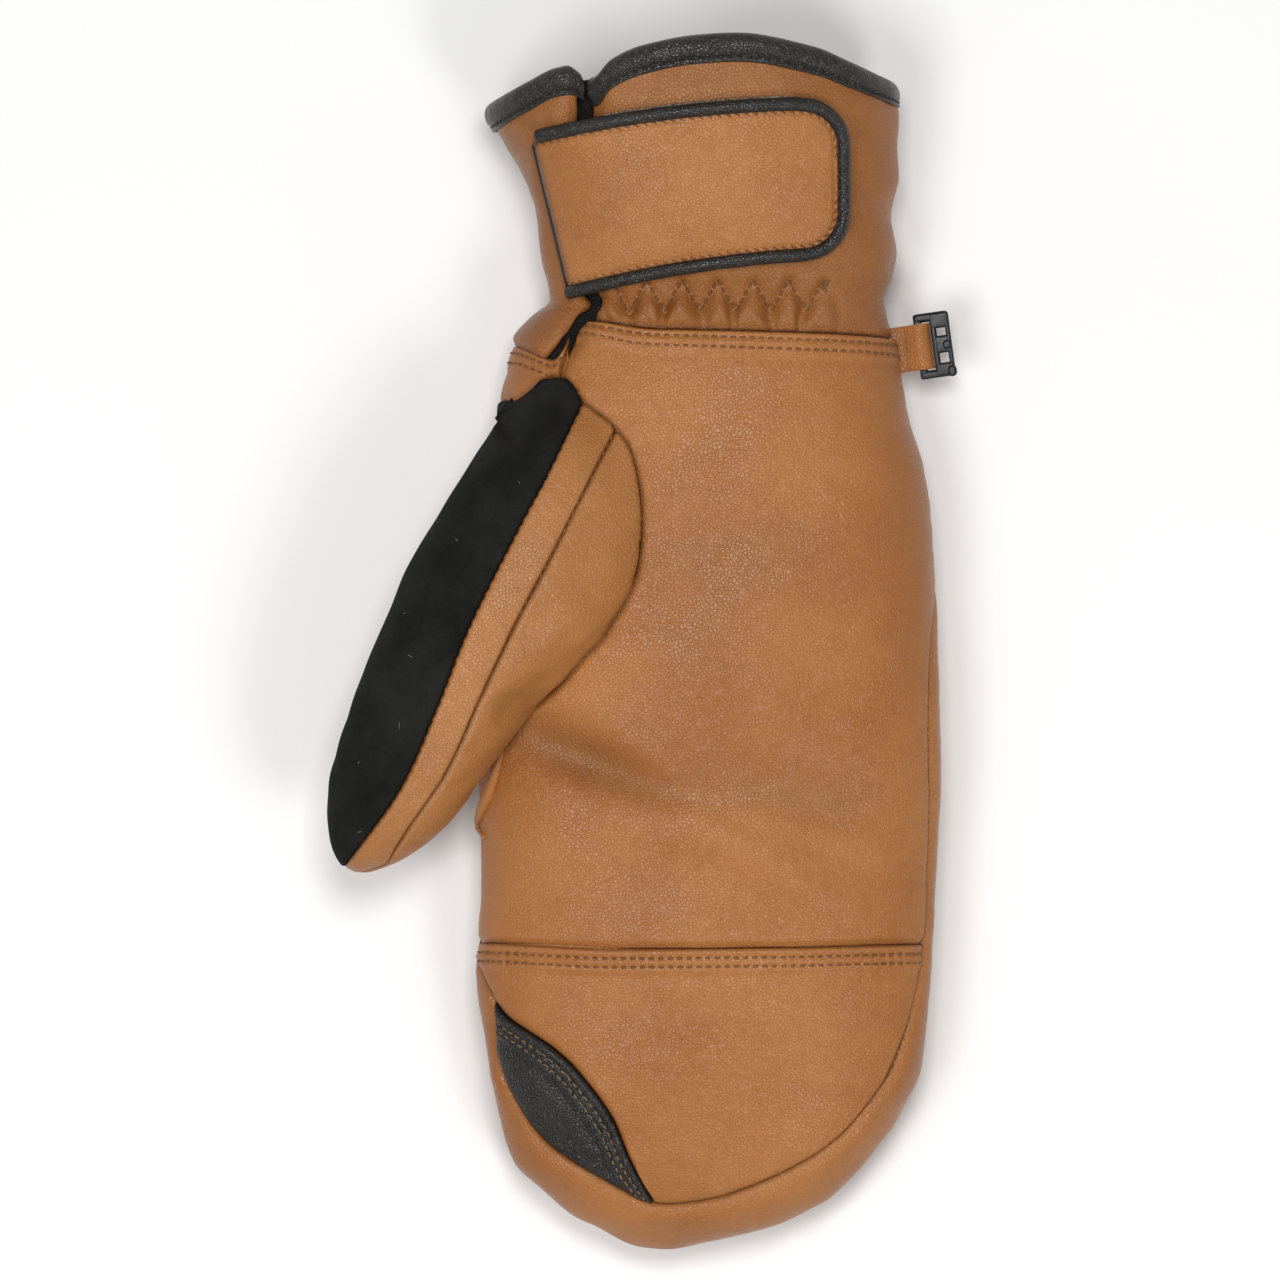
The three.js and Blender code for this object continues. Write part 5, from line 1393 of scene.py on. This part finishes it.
def strap_edge(margin, lift, start=0.0):
    """A line round the strap's edge, from the sewn end along the top, round the end and back."""
    last = STRAP_LENGTH - margin
    radius = STRAP_CORNER - margin
    straight = np.linspace(start, last - radius, 70)
    turn = np.linspace(0, np.pi / 2, 24)[1:]
    run = np.concatenate([straight, last - radius + radius * np.sin(turn)])
    offset = np.concatenate([strap_half(straight, margin),
                             STRAP_END_WIDTH / 2 - margin - radius + radius * np.cos(turn)])
    line = strap_point(np.concatenate([run, run[::-1]]), np.concatenate([offset, -offset[::-1]]), lift)
    return evenly(line, 330)


end_offsets = np.linspace(-STRAP_WIDTH / 2 + PIPING, STRAP_WIDTH / 2 - PIPING, 60)
end_shadow_line = strap_point(np.full(60, -0.15), end_offsets, STRAP_LIFT + 1.0)
piping_line = strap_edge(PIPING / 2, STRAP_LIFT + PIPING / 2)[4:]
piping_at = np.linspace(0, 190, len(piping_line))
piping_radius = PIPING / 2 * (1 + 0.035 * ripple(piping_at, 0 * piping_at, 9, 93))
finished("piping_leather", *tube(piping_line, piping_radius, 22), BLACK, ["strap_piping"], "black_leather")
TAPE_GREY = leather_material(
    "grey_hook_tape",
    deep=(0.1, 0.08, 0.06),
    pale=(0.4, 0.35, 0.29),
    painted_shade_colour=(0.05, 0.045, 0.04),
    gloss=(0.8, 0.9),
    grain=0.0001,
    pebbles=2200,
    patch=1500,
)
tape_line = evenly(strap_edge(-0.05, STRAP_LIFT + 0.5, 17)[:106], 320)
tape_at = np.linspace(0, 48, 320)
tape_radius = 0.34 * (1 + 0.45 * ripple(tape_at, 0 * tape_at, 0.9, 97) * smoothstep(tape_at, 0, 6))
finished("hook_tape_edge", *tube(tape_line, tape_radius, 10), TAPE_GREY)

# Pairing clip: a small black plastic clip with two windows and two round bosses. It hangs in a
# folded tan tab that is sewn in at the little finger side.
CLIP_PLACE = np.array([53.2, 73.5, 18.0])
CLIP_TURN = math.radians(8)
LOOP_WIDTH = 11.5
LOOP_LEATHER = 1.1
PLASTIC = leather_material(
    "black_moulded_plastic",
    deep=(0.011, 0.0115, 0.012),
    pale=(0.016, 0.0165, 0.017),
    painted_shade_colour=(0.004, 0.004, 0.004),
    gloss=(0.28, 0.4),
    grain=0.00001,
    pebbles=2500,
    specular=0.3,
)


def on_clip(points):
    """From the clip's own directions, across, along and up, to the mitten's."""
    turn = np.array([
        [math.cos(CLIP_TURN), -math.sin(CLIP_TURN), 0],
        [math.sin(CLIP_TURN), math.cos(CLIP_TURN), 0],
        [0, 0, 1],
    ])
    return np.asarray(points) @ turn.T + CLIP_PLACE


def soft_block(low, high, radius, corner_radius=None, steps=4):
    """A block with rounded edges, and rounder upright ones where asked, as points and faces."""
    low, high = np.array(low, float), np.array(high, float)
    round_plan = corner_radius or radius
    ring, points = 4 * (steps + 1), []
    turn = np.concatenate([np.linspace(k, k + 1, steps + 1) for k in range(4)]) * np.pi / 2
    circle = np.stack([np.cos(turn), np.sin(turn)], 1)
    corner = np.repeat([(1, 1), (-1, 1), (-1, -1), (1, -1)], steps + 1, axis=0)
    middle, half = (low + high) / 2, (high - low) / 2
    for tilt in np.linspace(-np.pi / 2, np.pi / 2, 2 * steps + 2):
        reach = round_plan - radius + radius * math.cos(tilt)
        flat = middle[:2] + corner * (half[:2] - round_plan) + reach * circle
        height = middle[2] + np.sign(tilt) * (half[2] - radius) + radius * math.sin(tilt)
        points.append(np.concatenate([flat, np.full((ring, 1), height)], 1))
    return closed_sweep(np.array(points))


def joined(shapes):
    points, faces, start = [], [], 0
    for shape_points, shape_faces in shapes:
        points.append(shape_points)
        faces += [tuple(int(k) + start for k in face) for face in shape_faces]
        start += len(shape_points)
    return np.concatenate(points), faces


clip_blocks = [
    soft_block((-1, -8.2, -1), (1, 8.2, 1), 0.5),
    soft_block((2.95, -8.0, -1.1), (4.5, 8.0, 1.15), 0.6),
    soft_block((6.7, -8.1, -1.1), (7.9, 8.1, 1.1), 0.5),
    soft_block((-1, 6.0, -1.2), (8.0, 8.3, 1.2), 0.8, 1.1),
    soft_block((2.95, 4.1, -1.15), (7.95, 8.1, 1.25), 0.6, 0.75),
    soft_block((3.5, -2.2, -1.15), (7.7, 2.2, 1.1), 0.6, 0.7),
    soft_block((5.5, -1.4, -0.5), (7.75, 0.9, 1.5), 0.6, 0.9),
    soft_block((-1, -8.2, -1.1), (7.9, -6.1, 1.1), 0.7, 1),
    soft_block((2.95, -7.9, -1.15), (7.9, -4.6, 1.2), 0.6, 0.75),
    soft_block((5.9, -8.4, -1.2), (8.2, -5.5, 1.55), 0.7, 1.1),
]
clip_points, clip_faces = joined(clip_blocks)
finished("clip_plastic", on_clip(clip_points), clip_faces, PLASTIC, ["pair_clip"], "black_plastic")
loop_eye = 1.75
loop_outer = loop_eye + LOOP_LEATHER
loop_turn = np.linspace(0.6 * np.pi, -0.6 * np.pi, 30)
loop_flat = np.linspace(-11.5, -loop_outer - 1.2, 18)


def loop_side(flat_height, radius):
    upper = np.stack([loop_flat, np.full(18, flat_height)], 1)
    arc = radius * np.stack([np.cos(loop_turn), np.sin(loop_turn)], 1)
    return evenly(np.concatenate([upper, arc, upper[::-1] * (1, -1)]), 90)


loop_across = np.linspace(-LOOP_WIDTH / 2, LOOP_WIDTH / 2, 24)
loop_worn = turned_edge(LOOP_WIDTH / 2 - np.abs(loop_across), 0.8, 0.45)


def loop_grid(line, worn):
    run = np.gradient(line, axis=0)
    run /= np.linalg.norm(run, axis=1, keepdims=True)
    inward = np.stack([run[:, 1], -run[:, 0]], 1) * worn
    flat = line[:, None] + inward[:, None] * loop_worn[None, :, None]
    along = np.broadcast_to(loop_across[None, :, None], flat.shape[:2] + (1,))
    return on_clip(np.concatenate([flat[..., :1], along, flat[..., 1:]], 2))


loop_points, loop_faces, _ = wall(
    loop_grid(loop_side(LOOP_LEATHER, loop_outer), -1), loop_grid(loop_side(0.06, loop_eye), 0)
)
finished("loop_leather", loop_points, loop_faces, TAN, ["clip_loop"], "tan_leather")

# Crotch welt: the seam between thumb and hand ends in a small rolled welt beside the palm.
WELT = [
    (-51.6, -27), (-52.6, -30.5), (-53.8, -34.5), (-55.4, -39), (-57.2, -43.5), (-57.6, -47),
    (-56.2, -49.6),
]
welt_plan = curve_through(WELT, 0.5)
welt_share = np.linspace(0, 1, len(welt_plan))
welt_radius = 1.5 * np.sin(np.pi * np.clip(welt_share, 0.04, 0.97)) ** 0.45
welt_height = palm_height(welt_plan[:, 0], welt_plan[:, 1]) + 0.5
welt_line = np.concatenate([welt_plan, welt_height[:, None]], 1)
finished("crotch_welt", *tube(welt_line, welt_radius, 16), TAN, [], "tan_leather")

# Stitches: brown thread in the tan leather's seams, tan thread on the black corner and black thread
# on the binding. At the strap's sewn end a thin cord of the black thread is painted shade, standing
# for the shadow in the groove there. Each stitch is a short bowed piece that dives into its holes.
# A few loose fibres lie on the suede.

def thread(name, deep, pale, painted_shade_colour, gloss):
    return leather_material(name, deep, pale, painted_shade_colour, gloss, grain=0.00004, pebbles=5000)


BROWN_THREAD = thread(
    "brown_thread", (0.13, 0.05, 0.014), (0.25, 0.11, 0.036), (0.03, 0.01, 0.003), (0.5, 0.6)
)
TAN_THREAD = thread("tan_thread", (0.2, 0.105, 0.04), (0.33, 0.18, 0.075), (0.05, 0.02, 0.006), (0.45, 0.55))
BLACK_THREAD = thread(
    "black_thread", (0.008, 0.007, 0.006), (0.016, 0.014, 0.012), (0.002, 0.002, 0.002), (0.4, 0.5)
)


def stitches_along(line, up, pitch=STITCH_PITCH, share=0.7, lean=0.0, first=0.0):
    """The ends and the upward direction of the stitches along a line."""
    at = travelled(line)
    start = np.arange(first, at[-1] - pitch * share, pitch)

    def read(grid, where):
        return np.stack([np.interp(where, at, grid[:, k]) for k in range(3)], 1)

    begin, end, upward = read(line, start), read(line, start + pitch * share), read(up, start)
    upward /= np.linalg.norm(upward, axis=1, keepdims=True)
    run = (end - begin) / np.linalg.norm(end - begin, axis=1, keepdims=True)
    aside = np.cross(upward, run) * lean
    return np.stack([begin - aside, end + aside, upward], 1)


def sewn(name, rows, material, radius=0.3, lift=0.18, dive=0.45, ride="root"):
    """One mesh of all the stitches in some rows."""
    stitches = np.concatenate(rows)
    share = np.array([0, 0.14, 0.35, 0.65, 0.86, 1])
    height = np.array([-dive, 0.3 * lift, lift, lift, 0.3 * lift, -dive])
    size = np.array([0.6, 0.95, 1, 1, 0.95, 0.6]) * radius
    turn = np.linspace(0, 2 * np.pi, 8, endpoint=False)
    begin, end, up = stitches[:, 0], stitches[:, 1], stitches[:, 2]
    run = (end - begin) / np.linalg.norm(end - begin, axis=1, keepdims=True)
    aside = np.cross(up, run)
    aside /= np.linalg.norm(aside, axis=1, keepdims=True)
    middle = begin[:, None] + (end - begin)[:, None] * share[None, :, None]
    middle = middle + up[:, None] * height[None, :, None]
    ring = np.cos(turn)[:, None] * aside[:, None, None] + np.sin(turn)[:, None] * up[:, None, None]
    points = middle[:, :, None] + ring * size[None, :, None, None]
    count = len(stitches)
    index = np.arange(count * 48).reshape(count, 6, 8)
    after = np.roll(index, -1, axis=2)
    quads = np.stack([index[:, :-1], after[:, :-1], after[:, 1:], index[:, 1:]], -1).reshape(-1, 4)
    ends = list(index[:, 0, ::-1]) + list(index[:, -1])
    return finished(name, points.reshape(-1, 3), list(quads) + ends, material, ride=ride)


def grid_rows(field, values, outer, normal, **options):
    rows = []
    for i, value in enumerate(values):
        line, up = line_at(field, value, outer, normal)
        rows.append(stitches_along(line, up, first=0.6 * i, **options))
    return rows


def on_skin(x, y, sink=0.7):
    """A line on the palm side over places in plan, with its upward directions."""
    line = np.stack([x, y, palm_height(x, y)], 1)
    up = hand_normals(line)
    return line - up * sink, up


wrist_threads = grid_rows(from_wrist, WRIST_ROWS, palm_outer, palm_normal)
finger_threads = grid_rows(top_distance, FINGER_ROWS, finger_outer, finger_normal)
sewn("wrist_seam_threads", wrist_threads, BROWN_THREAD)
sewn("finger_seam_threads", finger_threads, BROWN_THREAD)
patch_threads = grid_rows(patch_from_top, PATCH_ROWS, patch_outer, patch_normal, pitch=2.2)
sewn("index_patch_threads", patch_threads, TAN_THREAD, radius=0.2, lift=0.1)
left_grids = [grid.transpose(1, 0, 2)[-60:] for grid in (back_outer, back_normal)]
left_rows = []
for i, row in enumerate(WRIST_ROWS):
    line, up = line_at(wrist_distance.T[-60:], row, *left_grids)
    shown = line[:, 2] > 15
    left_rows.append(stitches_along(line[shown], up[shown], first=0.5 * i))
sewn("left_wrist_threads", left_rows, BROWN_THREAD)
zigzag = zigzag_line()
zigzag_rows = []
for start, end in zip(zigzag[:-1], zigzag[1:]):
    leg = start + np.linspace(0, 1, 12)[:, None] * (end - start)
    line, up = on_skin(leg[:, 0], leg[:, 1], 0.45)
    zigzag_rows.append(stitches_along(line, up, pitch=2.15, share=0.72, first=0.15))
backtack_y = np.linspace(ZIGZAG_HIGH + 0.3, ZIGZAG_LOW, 13)
backtack_x = ZIGZAG_END + 0.6 + np.where(np.arange(13) % 2, -1.1, 0.9) + 0.5 * np.cos(np.arange(13))
line, up = on_skin(backtack_x, backtack_y, 0.2)
zigzag_rows.append(np.stack([line[:-1], line[1:], up[:-1]], 1))
sewn("zigzag_threads", zigzag_rows, BROWN_THREAD, radius=0.27)
seat_shown = seat[(seat[:, 1] > 2) & (seat[:, 0] > -33)]
line, up = on_skin(seat_shown[:, 0], seat_shown[:, 1], 0.5)
seat_threads = [stitches_along(line, up, pitch=2.6, share=0.62, lean=0.12)]
side_at = np.linspace(10, 62, 120)
side_line, _, _ = thumb_skin(side_at, side_seam(side_at))
side_turn = np.radians(side_seam(side_at))
side_up = np.cos(side_turn)[:, None] * np.append(thumb_side, 0) + np.sin(side_turn)[:, None] * (0, 0, 1)
seat_threads.append(stitches_along(side_line - side_up * 0.85, side_up, pitch=2.6, share=0.62, lean=0.12))
sewn("thumb_seam_threads", seat_threads, BROWN_THREAD, radius=0.26)
rim_shown = rim_right[(rim_right[:, 1] > -110) & (rim_right[:, 1] < 8)]
line = hand_skin(rim_shown[:, 0], rim_shown[:, 1])
up = hand_normals(line)
rim_threads = stitches_along(line - up * 1.0, up, pitch=2.6, share=0.6, lean=0.1)
sewn("rim_seam_threads", [rim_threads], BROWN_THREAD, radius=0.24)
strap_line = strap_edge(strap_margin + 0.75, STRAP_LIFT + STRAP_THICKNESS - 0.3)
strap_level = palm_height(strap_line[:, 0], strap_line[:, 1])[:, None]
strap_up = hand_normals(strap_line * (1, 1, 0) + (0, 0, 1) * strap_level)
strap_threads = stitches_along(strap_line, strap_up, pitch=2.3, share=0.7, lean=-0.4)
sewn("strap_threads", [strap_threads], BROWN_THREAD, radius=0.24)
fibre_spots = [(18, 90), (30, 64), (40, 120), (26, 135), (52, 150), (33, 100), (44, 40)]
rows, columns = thumb_suede_outer.shape[:2]
fibres = []
for i, (column_share, row_share) in enumerate(fibre_spots):
    at = thumb_suede_outer[int(row_share / 170 * rows), int((0.45 + column_share / 120) * columns)]
    turn = 2.4 * i
    step = np.array([math.cos(turn), math.sin(turn), 0.0]) * (0.5 + 0.25 * (i % 3))
    fibres.append([at - step, at + step, np.array((-0.3, 0.0, 1.0))])
sewn("suede_fibres", [np.array(fibres)], TAPE_GREY, radius=0.06, lift=0.12, dive=0.05)
# A thin black cord along the strap's sewn end: painted shade for the shadow in its groove.
finished("strap_end_shadow_cord", *tube(end_shadow_line, 0.32, 10), BLACK_THREAD)
binding_row = edge_line - BINDING_STITCHES * edge_up + 0.85 * edge_out
sewn("binding_threads", [stitches_along(binding_row, edge_out)], BLACK_THREAD, radius=0.26)
